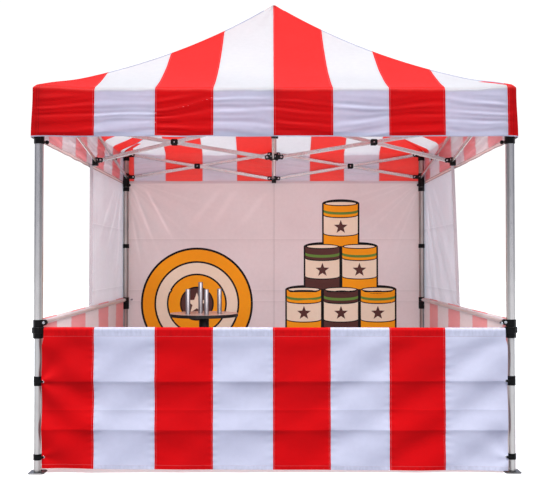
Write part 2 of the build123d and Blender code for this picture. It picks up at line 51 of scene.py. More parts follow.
# Sizes read from the frame, or set as in the part's source, in metres
valance_low, valance_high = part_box("front_valance")
half_canopy = valance_high.x
eave_height = valance_high.z
valance_bottom = valance_low.z
peak_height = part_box("front_roof_panel")[1].z
leg_low, leg_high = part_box("front_left_outer_leg")
half_legs = -(leg_low.x + leg_high.x) / 2
head_pivot, slider_pivot = 2.358, 2.142
mid_upper_pivot, mid_lower_pivot = 2.368, 2.126
hub_upper_pivot, hub_lower_pivot = 2.455, 2.150
table_radius = 0.275
game_pins = ((-0.43, -0.42, 0.200), (0.12, -0.60, 0.200), (0.46, -0.10, 0.200), (-0.12, 0.20, 0.250))
wing_return = 0.027
wing_free_edges = {-1: (0.015, 0.056), 1: (-0.130, 0.190)}
rail_low, rail_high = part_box("front_rail")
rail_height = (rail_low.z + rail_high.z) / 2
rail_radius = (rail_high.z - rail_low.z) / 2
counter_low, counter_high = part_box("front_counter_wall")
side_wall_low, side_wall_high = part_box("right_counter_wall")
back_low, back_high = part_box("back_wall")
wing_boxes = {-1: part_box("left_back_wing"), 1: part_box("right_back_wing")}
table_low, table_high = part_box("game_table_top")
lock_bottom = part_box("leg_locks")[0].z

# Cloth sizes, in metres
stripe_edges = {
    "front": (-1.120, -0.744, -0.381, -0.007, 0.363, 0.710, 1.061, 1.448),
    "right": (-1.150, -0.806, -0.463, -0.093, 0.327, 0.828, 1.269, 1.480),
    "back": (-1.057, -0.705, -0.362, 0.020, 0.369, 0.715, 1.086, 1.402),
    "left": (-1.373, -1.002, -0.640, -0.353, 0.019, 0.370, 0.755, 1.099),
    "front_counter": (-1.122, -0.746, -0.384, -0.012, 0.346, 0.711, 1.059),
    "right_counter": (-1.230, -0.865, -0.450, -0.045, 0.365, 0.800, 1.157, 1.440),
    "left_counter": (-1.070, -0.722, -0.319, 0.156, 0.588, 0.982),
}
white_first = ("right", "left")
side_names = ("front", "right", "back", "left")
stripe_width = 0.366
cloth_thickness = 0.0014
hem_thickness = 0.0012
hem_gap = 0.0003
valance_hem_gap = 0.0002
roof_sag = 0.099
panel_sag = 0.010
corner_radius = 0.016
binding = 0.0065
roof_stretch = 1.2
patch_width = 0.045
patch_reach = 0.19
seam_half_width = 0.007
seam_wander = 0.0012
stitch_offset = 0.0098
stitch_pitch = 0.0046
rail_flap = 0.055
wall_top_hem, wall_bottom_hem = 0.036, 0.024
upper_crease, middle_crease, lower_crease = 0.566, 0.389, 0.264
strap_heights = (upper_crease, 0.097)

# Photograph's camera
photo_width = 550
photo_focal_pixels = 791.16
sensor_width = 36.0
camera_place = (-0.0151, -6.4095, 1.318)
camera_pitch = 0.0186
camera_roll = 0.0007
camera_yaw = -0.0033


class Value:
    """A node's output. Sums and comparisons with it add math nodes to its tree."""

    def __init__(self, tree, socket):
        self.tree = tree
        self.socket = socket

    def __add__(self, other):
        return self.tree.math("ADD", self, other)

    def __radd__(self, other):
        return self.tree.math("ADD", other, self)

    def __sub__(self, other):
        return self.tree.math("SUBTRACT", self, other)

    def __rsub__(self, other):
        return self.tree.math("SUBTRACT", other, self)

    def __mul__(self, other):
        return self.tree.math("MULTIPLY", self, other)

    def __truediv__(self, other):
        return self.tree.math("DIVIDE", self, other)

    def __mod__(self, other):
        return self.tree.math("FLOORED_MODULO", self, other)

    def __gt__(self, other):
        return self.tree.math("GREATER_THAN", self, other)

    def __lt__(self, other):
        return self.tree.math("LESS_THAN", self, other)

    def __abs__(self):
        return self.tree.math("ABSOLUTE", self)

    def near(self, place, reach):
        """1 within reach of a place and 0 elsewhere."""
        return self.tree.math("COMPARE", self, place, reach)

    def tinted(self, where, amount):
        """The value made larger by a share of itself, or smaller, where where is 1."""
        return self * (where * amount + 1.0)


class Tree:
    """A node tree under construction: short calls that add nodes and hand back values."""

    def __init__(self, tree):
        self.nodes = tree.nodes
        self.links = tree.links

    def feed(self, socket, value):
        """Links a value or an output to a socket, or sets a plain number or colour."""
        if isinstance(value, Value):
            value = value.socket
        if isinstance(value, bpy.types.NodeSocket):
            self.links.new(value, socket)
        else:
            socket.default_value = value

    def feed_named(self, node, inputs):
        """Feeds inputs by their names, with spaces written as underscores."""
        for key, value in inputs.items():
            self.feed(node.inputs[key.replace("_", " ")], value)

    def node(self, kind, **inputs):
        made = self.nodes.new(f"ShaderNode{kind}")
        self.feed_named(made, inputs)
        return made

    def math(self, operation, *values):
        made = self.node("Math")
        made.operation = operation
        for socket, value in zip(made.inputs, values):
            self.feed(socket, value)
        return Value(self, made.outputs[0])

    def ramp(self, value, low, high):
        """0 below low and 1 above high, smoothly between."""
        made = self.node("MapRange", Value=value, From_Min=low, From_Max=high)
        made.interpolation_type = "SMOOTHSTEP"
        return Value(self, made.outputs["Result"])

    def scaled(self, value, low, high, start=0.0):
        """A value from start to 1 mapped to low up to high."""
        made = self.node("MapRange", Value=value, From_Min=start, To_Min=low, To_Max=high)
        return Value(self, made.outputs["Result"])

    def mix(self, share, first, second, blend="MIX"):
        """Blends two colours, each a value or its red, green and blue."""
        made = self.node("Mix")
        made.data_type = "RGBA"
        made.blend_type = blend
        factor, first_colour, second_colour, blended = 0, 6, 7, 2
        self.feed(made.inputs[factor], share)
        for number, colour in ((first_colour, first), (second_colour, second)):
            self.feed(made.inputs[number], colour if isinstance(colour, Value) else (*colour, 1.0))
        return Value(self, made.outputs[blended])

    def shaded(self, colour, shade):
        """A colour times a number."""
        grey = self.node("CombineColor", Red=shade, Green=shade, Blue=shade)
        return self.mix(1.0, colour, Value(self, grey.outputs[0]), blend="MULTIPLY")

    def place(self, kind):
        return Value(self, self.node("TexCoord").outputs[kind])

    def parts_of(self, vector):
        """The x, y and z of a place."""
        made = self.node("SeparateXYZ", Vector=vector)
        return [Value(self, made.outputs[part]) for part in "XYZ"]

    def noise(self, vector, scale, detail=3.0, stretch=(1, 1, 1)):
        mapping = self.node("Mapping", Vector=vector, Scale=stretch)
        made = self.node("TexNoise", Vector=mapping.outputs["Vector"], Scale=scale, Detail=detail)
        return Value(self, made.outputs["Fac"])

    def bump(self, height, strength, distance, **under):
        made = self.node("Bump", Height=height, Strength=strength, Distance=distance, **under)
        return Value(self, made.outputs["Normal"])

    def show_blend(self, share, first, second, output):
        """Sends a blend of two shaders to the tree's output."""
        made = self.node("MixShader")
        for socket, value in zip(made.inputs, (share, first.outputs[0], second.outputs[0])):
            self.feed(socket, value)
        self.links.new(made.outputs[0], self.nodes[output].inputs["Surface"])


class Shader(Tree):
    """A material under construction."""

    def __init__(self, name):
        self.material = bpy.data.materials.new(name)
        self.material.use_nodes = True
        super().__init__(self.material.node_tree)
        self.surface = self.nodes["Principled BSDF"]

    def finish(self, **inputs):
        """The material, with its surface's inputs fed."""
        self.feed_named(self.surface, inputs)
        return self.material

    def translucent(self, colour, share, normal):
        """Lets some light through the cloth."""
        through = self.node("BsdfTranslucent", Color=colour, Normal=normal)
        self.show_blend(share, self.surface, through, "Material Output")


# Cloth colours, linear: each pair is the clean colour and the one in dulled patches
outside_red = (0.83, 0.0018, 0.0048), (0.78, 0.0030, 0.0065)
# Painted light and sheen: the roof's red is a paler copy of the stripes' red, for the roof lit from above
roof_sheen_red = (0.90, 0.0340, 0.0300), (0.87, 0.0370, 0.0330)
# Painted shade: the valances' and walls' white outside is tinted lavender, partly for the blue of their
# shaded upright faces
shade_tinted_white = (0.790, 0.815, 0.985), (0.750, 0.772, 0.945)
# Painted light: the roof's white is a neutral copy of the walls' white without its lavender, for the roof lit
# from above
roof_lit_white = (0.788, 0.795, 0.806), (0.770, 0.777, 0.790)
under_red = (1.0, 0.185, 0.155), (0.98, 0.195, 0.165)
under_white = (0.975, 0.990, 0.990), (0.955, 0.970, 0.972)
valance_inside_red = (1.0, 0.690, 0.730), (0.98, 0.715, 0.750)
valance_inside_white = (0.980, 0.890, 0.820), (0.945, 0.850, 0.785)
inside_red = (0.88, 0.400, 0.400), (0.86, 0.430, 0.430)
inside_white = (0.860, 0.785, 0.755), (0.825, 0.745, 0.715)
back_valance_white = (0.760, 0.675, 0.640), (0.730, 0.645, 0.610)
# Painted shade: the hip seams' white is a dark lavender, for the shaded side of each standing seam
hip_shade_lavender = (0.500, 0.510, 0.660), (0.470, 0.480, 0.620)
# Painted light: the back wall's white is tinted pink, for the red glow inside the booth
back_wall_white = (0.790, 0.725, 0.705), (0.745, 0.675, 0.658)
left_wing_white = (0.965, 0.970, 0.970), (0.935, 0.935, 0.938)
right_wing_white = (0.985, 0.990, 0.990), (0.965, 0.968, 0.970)
# Painted shade: the hems are darker and mauver than the cloths they are folded from, for the shade in the
# doubled cloth
wing_hem_white = (0.46, 0.425, 0.45), (0.41, 0.375, 0.40)
back_hem_white = (0.64, 0.55, 0.56), (0.58, 0.495, 0.505)
side_hem_white = (0.82, 0.71, 0.68), (0.77, 0.66, 0.63)
thread = (0.80, 0.42, 0.44)
inks = {
    "ink": ((0.0015, 0.0013, 0.0018), (0.004, 0.0035, 0.004)),
    "gold": ((0.92, 0.355, 0.004), (0.85, 0.305, 0.004)),
    "brown": ((0.085, 0.030, 0.024), (0.105, 0.042, 0.034)),
    "green": ((0.130, 0.270, 0.045), (0.110, 0.230, 0.040)),
    "cream": ((0.86, 0.74, 0.56), (0.80, 0.68, 0.50)),
}


def cloth_weave(shader, vector):
    """Fine crossed threads."""
    warp = shader.noise(vector, 60.0, detail=1.0, stretch=(14, 1.5, 1))
    weft = shader.noise(vector, 60.0, detail=1.0, stretch=(1.5, 14, 1))
    return shader.bump(warp + weft, 0.12, 0.0004)


def creased(shader, shade, up, rows, wobble):
    """A shade with pressed creases painted in: a painted highlight on the ridge at each height and painted
    shade on the fold below.
    """
    bent = wobble * 0.006 + up
    for row in rows:
        off = bent - (row + 0.003)
        under = shader.ramp(off, -0.05, -0.001) * (off < -0.001)
        # Painted highlight along each crease's ridge and painted shade on the fold below
        shade = shade.tinted(off.near(0.002, 0.0030), 0.07).tinted(under, -0.055)
    return shade


def striped_cloth(name, side, red, white, roof_colours=None, binding_below=None, seam_lines=(), upright_rows=(),
                  crease_rows=(), doubled=(), through=0.30, specular=0.12):
    """Striped cloth: uv x runs along a side from its middle, uv y up the cloth, both in metres.

    seam_lines and upright_rows are the places of level and upright stitch rows, crease_rows the heights
    of pressed creases, each painted with a highlight and shade, and doubled the (low, high) bands where the
    cloth is two layers thick and puckered, painted mostly darker as shade.
    The red and the white given for above the eave are, on the outside, a paler copy with painted light and
    sheen.
    """
    shader = Shader(name)
    place = shader.place("UV")
    along, up, _ = shader.parts_of(place)
    wobble = shader.noise(place, 9.0, detail=1.0)
    wavy = along + shader.scaled(wobble, -seam_wander, seam_wander)
    passed = 1.0 if side in white_first else 0.0
    to_seam = 1.0
    for edge in stripe_edges[side]:
        passed = passed + (wavy > edge)
        to_seam = shader.math("MINIMUM", to_seam, abs(wavy - edge))
    is_white = passed % 2.0
    if roof_colours is not None and side not in white_first:
        # A red patch along each right-hand hip, just above the corner
        to_hip = up * (-1 / roof_stretch) + half_canopy - wavy
        patch = (to_hip < patch_width) * (up < patch_reach)
        is_white = is_white * (1.0 - patch)
    cloudy = shader.ramp(shader.noise(place, 2.3, detail=4.0), 0.35, 0.75)

    def stripes(red_pair, white_pair):
        return shader.mix(is_white, shader.mix(cloudy, *red_pair), shader.mix(cloudy, *white_pair))

    colour = stripes(red, white)
    # Above the eave the stripes take the roof colours: on the outside, a paler copy with painted light and
    # sheen
    if roof_colours is not None:
        colour = shader.mix(shader.ramp(up, -0.030, -0.008), colour, stripes(*roof_colours))
    # Fell seams between the stripes, with a pale row of stitches on the red
    lap = 1.0 - shader.ramp(to_seam, seam_half_width * 0.7, seam_half_width)
    dash = up % stitch_pitch > 0.0014
    stitches = to_seam.near(stitch_offset, 0.0010) * dash
    height = lap * 0.6 + stitches * -0.5
    patchy = shader.noise(place, 26.0)
    shade = shader.scaled(patchy, 0.955, 1.035).tinted(to_seam.near(seam_half_width, 0.0011), -0.14)
    pale = stitches * (1.0 - is_white) * 0.42
    stitch_hollow = -0.9
    for line in seam_lines:
        row = up.near(line, 0.0013) * (along % stitch_pitch > 0.0012)
        pale = shader.math("MAXIMUM", pale, row * 0.20)
        height = row * stitch_hollow + height
    for line in upright_rows:
        row = along.near(line, 0.0014) * dash
        shade = shade.tinted(row, -0.45)
        height = row * stitch_hollow + height
    shade = creased(shader, shade, up, crease_rows, wobble)
    # Painted shade: the doubled bands are mostly darkened by their puckers, which also bump the surface
    for low, high in doubled:
        band = (up > low) * (up < high)
        pucker = shader.noise(place, 40.0, detail=2.0, stretch=(1.3, 0.5, 1))
        shade = shade.tinted(band, shader.scaled(pucker, -0.24, 0.08))
        height = band * shader.scaled(pucker, 0.2, 1.6) + height
    colour = shader.mix(pale, shader.shaded(colour, shade), thread)
    if binding_below is not None:
        bound = up < binding_below
        colour = shader.mix(bound, colour, shader.mix(cloudy, *white))
        height = height + bound
    normal = shader.bump(height, 0.5, 0.0012, Normal=cloth_weave(shader, place))
    shader.translucent(colour, through, normal)
    return shader.finish(Base_Color=colour, Roughness=shader.scaled(patchy, 0.58, 0.74), Normal=normal,
                         Specular_IOR_Level=specular)


def plain_cloth(name, tone, soiled, through=0.28, seam_at=None, crease_rows=(), edge_rows=(), fans=(),
                folds=()):
    """One-colour cloth with the same weave: uv in metres. An upright seam and pressed creases go where given.

    edge_rows are the heights of dark lines along a hem's edges.
    fans holds the places that wrinkles spread from, painted as light streaks, and their strengths. folds
    holds
    long taut folds painted as highlights: the upper end, the lower end, half the width, the strength.
    """
    shader = Shader(name)
    place = shader.place("UV")
    across, up, _ = shader.parts_of(place)
    cloudy = shader.ramp(shader.noise(place, 1.7, detail=4.0), 0.35, 0.8)
    shade = shader.scaled(shader.noise(place, 30.0), 0.955, 1.035)
    shade = creased(shader, shade, up, crease_rows, shader.noise(place, 3.0))
    normal = cloth_weave(shader, place)
    for row in edge_rows:
        shade = shade.tinted(up.near(row, 0.0040), -0.40)
    # Painted light: bright streaks fanning from a corner, for the lit sides of its wrinkles
    for (from_x, from_z), strength in fans:
        off = across - from_x
        down = from_z - up
        angle = shader.math("ARCTAN2", off, down)
        wave = shader.math("SINE", angle * 31.0 + shader.math("SINE", angle * 15.0) * 1.6)
        fade = 1.0 - shader.ramp(shader.math("SQRT", off * off + down * down), 0.25, 1.25)
        shade = shade.tinted(shader.scaled(wave, -0.35, 1.0) * fade, strength)
    # Painted highlights along long taut folds
    for (upper_x, upper_z), (lower_x, lower_z), width, strength in folds:
        share = (upper_z - up) / (upper_z - lower_z)
        off = abs(across - (share * (lower_x - upper_x) + upper_x))
        ends = shader.ramp(share, 0.0, 0.2) * (1.0 - shader.ramp(share, 0.5, 1.0))
        shade = shade.tinted((1.0 - shader.ramp(off, 0.0, width)) * ends, strength)
    if seam_at is not None:
        to_seam = abs(across - seam_at)
        lap = to_seam < seam_half_width
        shade = shade.tinted(to_seam.near(seam_half_width, 0.0014), -0.22).tinted(lap, -0.05)
        normal = shader.bump(lap, 0.5, 0.001, Normal=normal)
    colour = shader.shaded(shader.mix(cloudy, tone, soiled), shade)
    shader.translucent(colour, through, normal)
    return shader.finish(Base_Color=colour, Roughness=0.66, Normal=normal, Sheen_Weight=0.02,
                         Specular_IOR_Level=0.2)


def metal(name, tone, dark, roughness, streak, metallic=1.0, painted_edge_shade=0.0):
    """Drawn metal: fine streaks along streak's long way, dull patches, scratches, and painted shade towards
    the edges of tubes.
    """
    shader = Shader(name)
    place = shader.place("Object")
    fine = shader.noise(place, 90.0, detail=2.0, stretch=streak)
    patches = shader.noise(place, 5.0, detail=4.0)
    scratches = shader.ramp(shader.noise(place, 320.0, detail=1.0, stretch=streak), 0.66, 0.74)
    colour = shader.mix(shader.ramp(patches, 0.35, 0.75), tone, dark)
    colour = shader.mix(fine * 0.25, colour, dark)
    if painted_edge_shade:
        # Painted shade: each face of an upright tube is darkened towards its edges, so it looks brightest
        # along the middle
        sides = [abs(part * 2.0 - 1.0) for part in shader.parts_of(shader.place("Generated"))[:2]]
        edge = shader.ramp(shader.math("MINIMUM", *sides), 0.20, 1.0)
        colour = shader.shaded(colour, edge * -painted_edge_shade + 1.0)
    rough = shader.scaled(fine, roughness - 0.08, roughness + 0.08) + scratches * 0.12
    normal = shader.bump(fine + scratches * -0.6, 0.08, 0.0004)
    return shader.finish(Base_Color=colour, Metallic=metallic, Roughness=rough, Normal=normal)


def moulded_plastic(name, tone, worn):
    """Moulded nylon: fine grain, a little dust and rubbed spots."""
    shader = Shader(name)
    place = shader.place("Object")
    rubbed = shader.ramp(shader.noise(place, 22.0, detail=5.0), 0.52, 0.74)
    normal = shader.bump(shader.noise(place, 700.0, detail=2.0), 0.22, 0.0006)
    return shader.finish(Base_Color=shader.mix(rubbed, tone, worn), Normal=normal,
                         Roughness=shader.scaled(rubbed, 0.50, 0.68), Specular_IOR_Level=0.14)


def webbing(name, tone, worn):
    """Woven strap: ribs along it and a fuzzy face."""
    shader = Shader(name)
    place = shader.place("Object")
    ribs = shader.noise(place, 420.0, detail=1.0, stretch=(1, 1, 3))
    fuzz = shader.noise(place, 1500.0, detail=1.0)
    dusty = shader.ramp(shader.noise(place, 18.0, detail=4.0), 0.5, 0.8)
    normal = shader.bump(ribs + fuzz * 0.4, 0.35, 0.0008)
    return shader.finish(Base_Color=shader.mix(dusty, tone, worn), Roughness=0.8, Normal=normal,
                         Sheen_Weight=0.02, Specular_IOR_Level=0.15)


def table_with_painted_reflection(name, face_height):
    """Black moulded table whose upper face is glossier and painted pale brownish pink as a reflection."""
    shader = Shader(name)
    place = shader.place("Object")
    grain = shader.noise(place, 60.0, stretch=(1, 8, 1))
    # Painted reflection: the upper face's pale brownish pink, with a streaky grain
    sheet = shader.mix(grain, (0.42, 0.33, 0.30), (0.50, 0.40, 0.37))
    speckle = shader.noise(place, 25.0, detail=4.0)
    black = shader.mix(speckle, (0.0014, 0.0014, 0.0017), (0.004, 0.004, 0.004))
    on_top = shader.parts_of(place)[2] > face_height
    normal = shader.bump(shader.noise(place, 500.0, detail=2.0), 0.1, 0.0004)
    return shader.finish(Base_Color=shader.mix(on_top, black, sheet), Roughness=on_top * -0.30 + 0.52,
                         Normal=normal, Specular_IOR_Level=0.22)


def ripples(first, second, seed, shortest, longest):
    """Seeded soft waves in two directions, mostly from -1 to 1, with wavelengths in metres."""
    count = 7
    chance = random.Random(seed)
    total = np.zeros(np.broadcast(first, second).shape)
    for _ in range(count):
        length = math.exp(chance.uniform(math.log(shortest), math.log(longest)))
        way = chance.uniform(0, math.pi)
        start = chance.uniform(0, 2 * math.pi)
        turn = 2 * math.pi / length
        total += np.sin(turn * (math.cos(way) * first + math.sin(way) * second) + start)
    return total / (count ** 0.5 * 1.6)


def smooth(value, low, high):
    """0 at low and 1 at high, smoothly between."""
    share = np.clip((value - low) / (high - low), 0, 1)
    return share * share * (3 - 2 * share)


def stacked(*parts):
    """Places from their coordinates, each a grid, a row or a column."""
    return np.stack(np.broadcast_arrays(*parts), axis=-1)


def new_object(name, data):
    made = bpy.data.objects.new(name, data)
    bpy.context.scene.collection.objects.link(made)
    return made


def riding_piece(name, mesh):
    """A smooth-shaded piece that rides on the booth."""
    mesh.polygons.foreach_set("use_smooth", [True] * len(mesh.polygons))
    mesh.set_sharp_from_angle(angle=sharp_angle)
    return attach(new_object(name, mesh), body)


def grid_normals(points, wrap):
    """Outward unit normals of a grid whose rows run down and columns run to the right."""
    down = np.gradient(points, axis=0)
    if wrap:
        across = (np.roll(points, -1, axis=1) - np.roll(points, 1, axis=1)) / 2
    else:
        across = np.gradient(points, axis=1)
    normal = np.cross(down, across)
    return normal / np.maximum(np.linalg.norm(normal, axis=2, keepdims=True), 1e-9)


def cloth_piece(name, points, uv_left, uv_right, materials, wrap=False, peak=None, slots=None,
                thickness=cloth_thickness):
    """A closed thin shell from a grid of points on its outside.

    uv_left and uv_right belong to each quad's two sides. slots gives each quad's outside and inside
    materials, which are the first and the last one if it isn't given.
    """
    rows, columns = points.shape[:2]
    count = rows * columns
    inner = points - grid_normals(points, wrap) * thickness
    corners = np.concatenate([points.reshape(-1, 3), inner.reshape(-1, 3)])
    index = np.arange(count).reshape(rows, columns)
    left = index if wrap else index[:, :-1]
    right = np.roll(index, -1, axis=1) if wrap else index[:, 1:]
    faces, uvs = [], []

    def add_quads(numbers, places, reverse=False):
        """Quads from four arrays of vertex numbers and the four arrays of their uv places."""
        order = slice(None, None, -1 if reverse else 1)
        faces.extend(np.stack(numbers, axis=-1).reshape(-1, 4)[:, order].tolist())
        uvs.append(np.stack(places, axis=-2).reshape(-1, 4, 2)[:, order].reshape(-1, 2))

    quads = np.stack([left[:-1], left[1:], right[1:], right[:-1]])
    quad_uvs = uv_left[:-1], uv_left[1:], uv_right[1:], uv_right[:-1]
    add_quads(quads, quad_uvs)
    add_quads(quads + count, quad_uvs, reverse=True)
    add_quads((left[-1] + count, right[-1] + count, right[-1], left[-1]),
              (uv_left[-1], uv_right[-1], uv_right[-1], uv_left[-1]))
    if peak is None:
        add_quads((left[0], right[0], right[0] + count, left[0] + count),
                  (uv_left[0], uv_right[0], uv_right[0], uv_left[0]))
    if not wrap:
        ends = (index[:, 0], uv_left[:, 0], False), (index[:, -1], uv_right[:, -1], True)
        for column, uv, reverse in ends:
            add_quads((column[:-1], column[:-1] + count, column[1:] + count, column[1:]),
                      (uv[:-1], uv[:-1], uv[1:], uv[1:]), reverse)
    if peak is not None:
        top = len(corners)
        corners = np.concatenate([corners, [peak, np.asarray(peak) - (0, 0, thickness)]])
        for a, b, uv_a, uv_b in zip(left[0].tolist(), right[0].tolist(), uv_left[0], uv_right[0]):
            faces += [[top, a, b], [top + 1, b + count, a + count]]
            uvs.append([uv_a, uv_a, uv_b, uv_b, uv_b, uv_a])
    mesh = bpy.data.meshes.new(name)
    mesh.from_pydata(corners.tolist(), [], faces)
    layer = mesh.uv_layers.new(name="metres")
    layer.data.foreach_set("uv", np.concatenate(uvs).astype(np.float32).ravel())
    for material in materials:
        mesh.materials.append(material)
    if slots is None:
        shape = left[:-1].shape
        slots = np.zeros(shape, int), np.full(shape, len(materials) - 1)
    numbers = [np.ravel(slots[0]), np.ravel(slots[1]), slots[0][-1]]
    if peak is not None:
        numbers.append(np.repeat(slots[0][0], 2))
    numbers = np.concatenate(numbers)
    numbers = np.pad(numbers, (0, len(mesh.polygons) - len(numbers)))
    mesh.polygons.foreach_set("material_index", numbers.astype(np.int32))
    mesh.validate()
    return riding_piece(name, mesh)


def flat_cloth(name, points, uv, materials, thickness=cloth_thickness):
    """A cloth piece whose uv has one place for each point."""
    return cloth_piece(name, points, uv[:, :-1], uv[:, 1:], materials, thickness=thickness)


def hem_strip(name, points, uv, material):
    hem = flat_cloth(name, points, uv, [material], hem_thickness)
    return hem


def circle(sides):
    """Places round a circle of radius 1."""
    turns = [2 * math.pi * k / sides for k in range(sides)]
    return [(math.cos(turn), math.sin(turn)) for turn in turns]


def join_rings(built, rings, closed=False):
    """Faces between neighbouring rings. closed joins the last to the first, or else each end gets a face."""
    faces = []
    for low, high in zip(rings, rings[1:] + rings[:1] if closed else rings[1:]):
        for k in range(len(low)):
            m = (k + 1) % len(low)
            faces.append(built.faces.new([low[k], low[m], high[m], high[k]]))
    if not closed:
        faces.append(built.faces.new(rings[0][::-1]))
        faces.append(built.faces.new(rings[-1]))
    return faces


def piece_from(built, name, material):
    """A piece from a bmesh."""
    mesh = bpy.data.meshes.new(name)
    built.to_mesh(mesh)
    built.free()
    mesh.materials.append(material)
    return riding_piece(name, mesh)


def roof_height(distance):
    """Height of the roof's outside at a distance from its middle, square to the eave."""
    rise = (half_canopy - distance) / half_canopy
    return eave_height + rise * (peak_height - eave_height) - 4 * roof_sag * rise * (1 - rise)


# Canopy
side_columns = 104
roof_rows = 58
valance_rows = 44
hem_rows = 5
peak_start_share = 0.008
# The eave's rounded edge: how steeply the cloth faces up, in degrees, over each short length
eave_profile = ((64, 0.003), (56, 0.003), (50, 0.005), (47, 0.006), (45, 0.007), (42, 0.005), (30, 0.003),
                (16, 0.003), (5, 0.003))
fold_amplitude = 0.0050
valance_stretch = 0.007
valance_flare = 0.008
fold_middle = 0.17
roof_spacing = 0.7
peak_drop = 0.006
# Sizes of the canopy's waves and puckers
roof_wave = 0.0022
peak_pucker, pucker_reach, pucker_count = 0.0035, 0.28, 14
lip_wave = 0.0042
valance_wave = 0.0025
hem_wave = 0.0025
valance_ease = 0.0030
deepest_fold = -0.0045
# The leg heads hold the cloth up at the corners
corner_lift = 0.014
lift_starts, lift_ends = 1.20, 1.43


def valance_folds(along, drop, side):
    """Soft folds on the valance, nearly level, that fan out and shift at each seam."""
    total = np.zeros_like(along)
    edges = (-half_canopy, *stripe_edges[side_names[side]], half_canopy)
    panel = np.searchsorted(edges[1:-1], along)
    bent = 0.9 * ripples(along, drop * 2.5, 140 + side, 0.35, 1.1)
    patchy = 0.65 + 0.35 * ripples(along, drop * 2.0, 150 + side, 0.18, 0.5)
    for number, (left, right) in enumerate(zip(edges, edges[1:])):
        chance = random.Random(40 * side + number)
        start = chance.uniform(0, 2 * math.pi)
        lean = chance.uniform(-0.10, 0.10)
        fan = chance.uniform(-0.7, 0.7)
        length = chance.uniform(0.066, 0.098)
        size = chance.uniform(0.75, 1.2)
        centre = (left + right) / 2
        share = (along - centre) / stripe_width
        slanted = (drop - fold_middle) * (1 + fan * share) + lean * (along - centre)
        turn = 2 * math.pi * slanted / length + start + bent
        wave = np.sin(turn + 0.55 * np.sin(turn))
        second = np.sin(2.3 * turn + 1.7 * bent)
        total = np.where(panel == number, size * patchy * (0.74 * wave + 0.26 * second), total)
    return total


def eave_rows():
    """The rolled eave: where it meets the roof, then how far out and how high each of its rows is."""
    lean = np.radians([angle for angle, _ in eave_profile])
    length = np.array([part for _, part in eave_profile])
    out = np.cumsum(length * np.sin(lean))
    meet = half_canopy - out[-1]
    return meet, meet + out, roof_height(meet) - np.cumsum(length * np.cos(lean))


def roof_side(side, edge, share, meet, rolled):
    """A roof panel and its eave, turned to the front: points, uv, and how far the lower edge is lifted."""
    along = edge * share[:, None]
    distance = half_canopy * share[:, None] * np.ones_like(edge)
    rise = (half_canopy - distance) / half_canopy
    across = along / distance
    dip = panel_sag * (1 - across ** 2) * 4 * rise * (1 - rise)
    wave = roof_wave * ripples(along, distance, 11 + side, 0.25, 0.9)
    wave *= (1 - np.abs(across) ** 3) * smooth(rise, 0.0, 0.12)
    pucker = peak_pucker * np.cos(pucker_count * np.arctan2(along, distance) + side)
    pucker *= np.exp(-distance / pucker_reach)
    lip = lip_wave * ripples(along, distance * 0, 70 + side, 0.12, 0.6) * smooth(distance, meet, half_canopy)
    held = smooth(np.abs(along), lift_starts, lift_ends) * smooth(distance, lift_starts, lift_ends)
    lift = lip + held * corner_lift
    height = roof_height(distance)
    height[roof_rows:] = rolled[:, None]
    up = (half_canopy - distance) * roof_stretch
    up[roof_rows:] = np.minimum(rolled - eave_height, 0.0)[:, None]
    return stacked(along, -distance, height - dip + wave + pucker + lift), stacked(along, up), lift[-1]


def valance_side(side, edge, drop, flare, lift):
    """A valance, turned to the front: points and uv."""
    hang = np.broadcast_to(drop[:, None], (len(drop), len(edge)))
    level = edge * (1 + flare[:, None] / half_canopy)
    calm = smooth(hang, 0.025, 0.08) * smooth(half_canopy - np.abs(edge), 0.0, 0.07)
    folds = valance_folds(level, hang, side) * fold_amplitude
    folds += valance_wave * ripples(level, hang, 90 + side, 0.3, 1.2)
    outward = half_canopy + flare[:, None] + (valance_ease + np.maximum(folds, deepest_fold)) * calm
    sag = hem_wave * ripples(level, hang * 0, 120 + side, 0.25, 0.8) * smooth(hang, 0.1, 0.3)
    settle = lift * smooth(hang, 0.10, 0.0)
    return stacked(level, -outward, eave_height - hang + sag + settle), stacked(level, -hang)


def round_corners(points, radius, limit):
    """A side whose two ends bend round the corners, seen from above."""
    x, y, z = np.moveaxis(points, -1, 0)
    held_x = np.clip(x, -limit, limit)
    held_y = -np.minimum(-y, limit)
    reach_x, reach_y = x - held_x, y - held_y
    length = np.maximum(np.hypot(reach_x, reach_y), 1e-9)
    keep = np.where(np.abs(x) > limit, radius / length, 1.0)
    return stacked(held_x + reach_x * keep, held_y + reach_y * keep, z)


def turned(points, angle):
    """Places turned about the booth's upright middle."""
    x, y, z = np.moveaxis(points, -1, 0)
    cos, sin = math.cos(angle), math.sin(angle)
    return stacked(x * cos - y * sin, x * sin + y * cos, z)


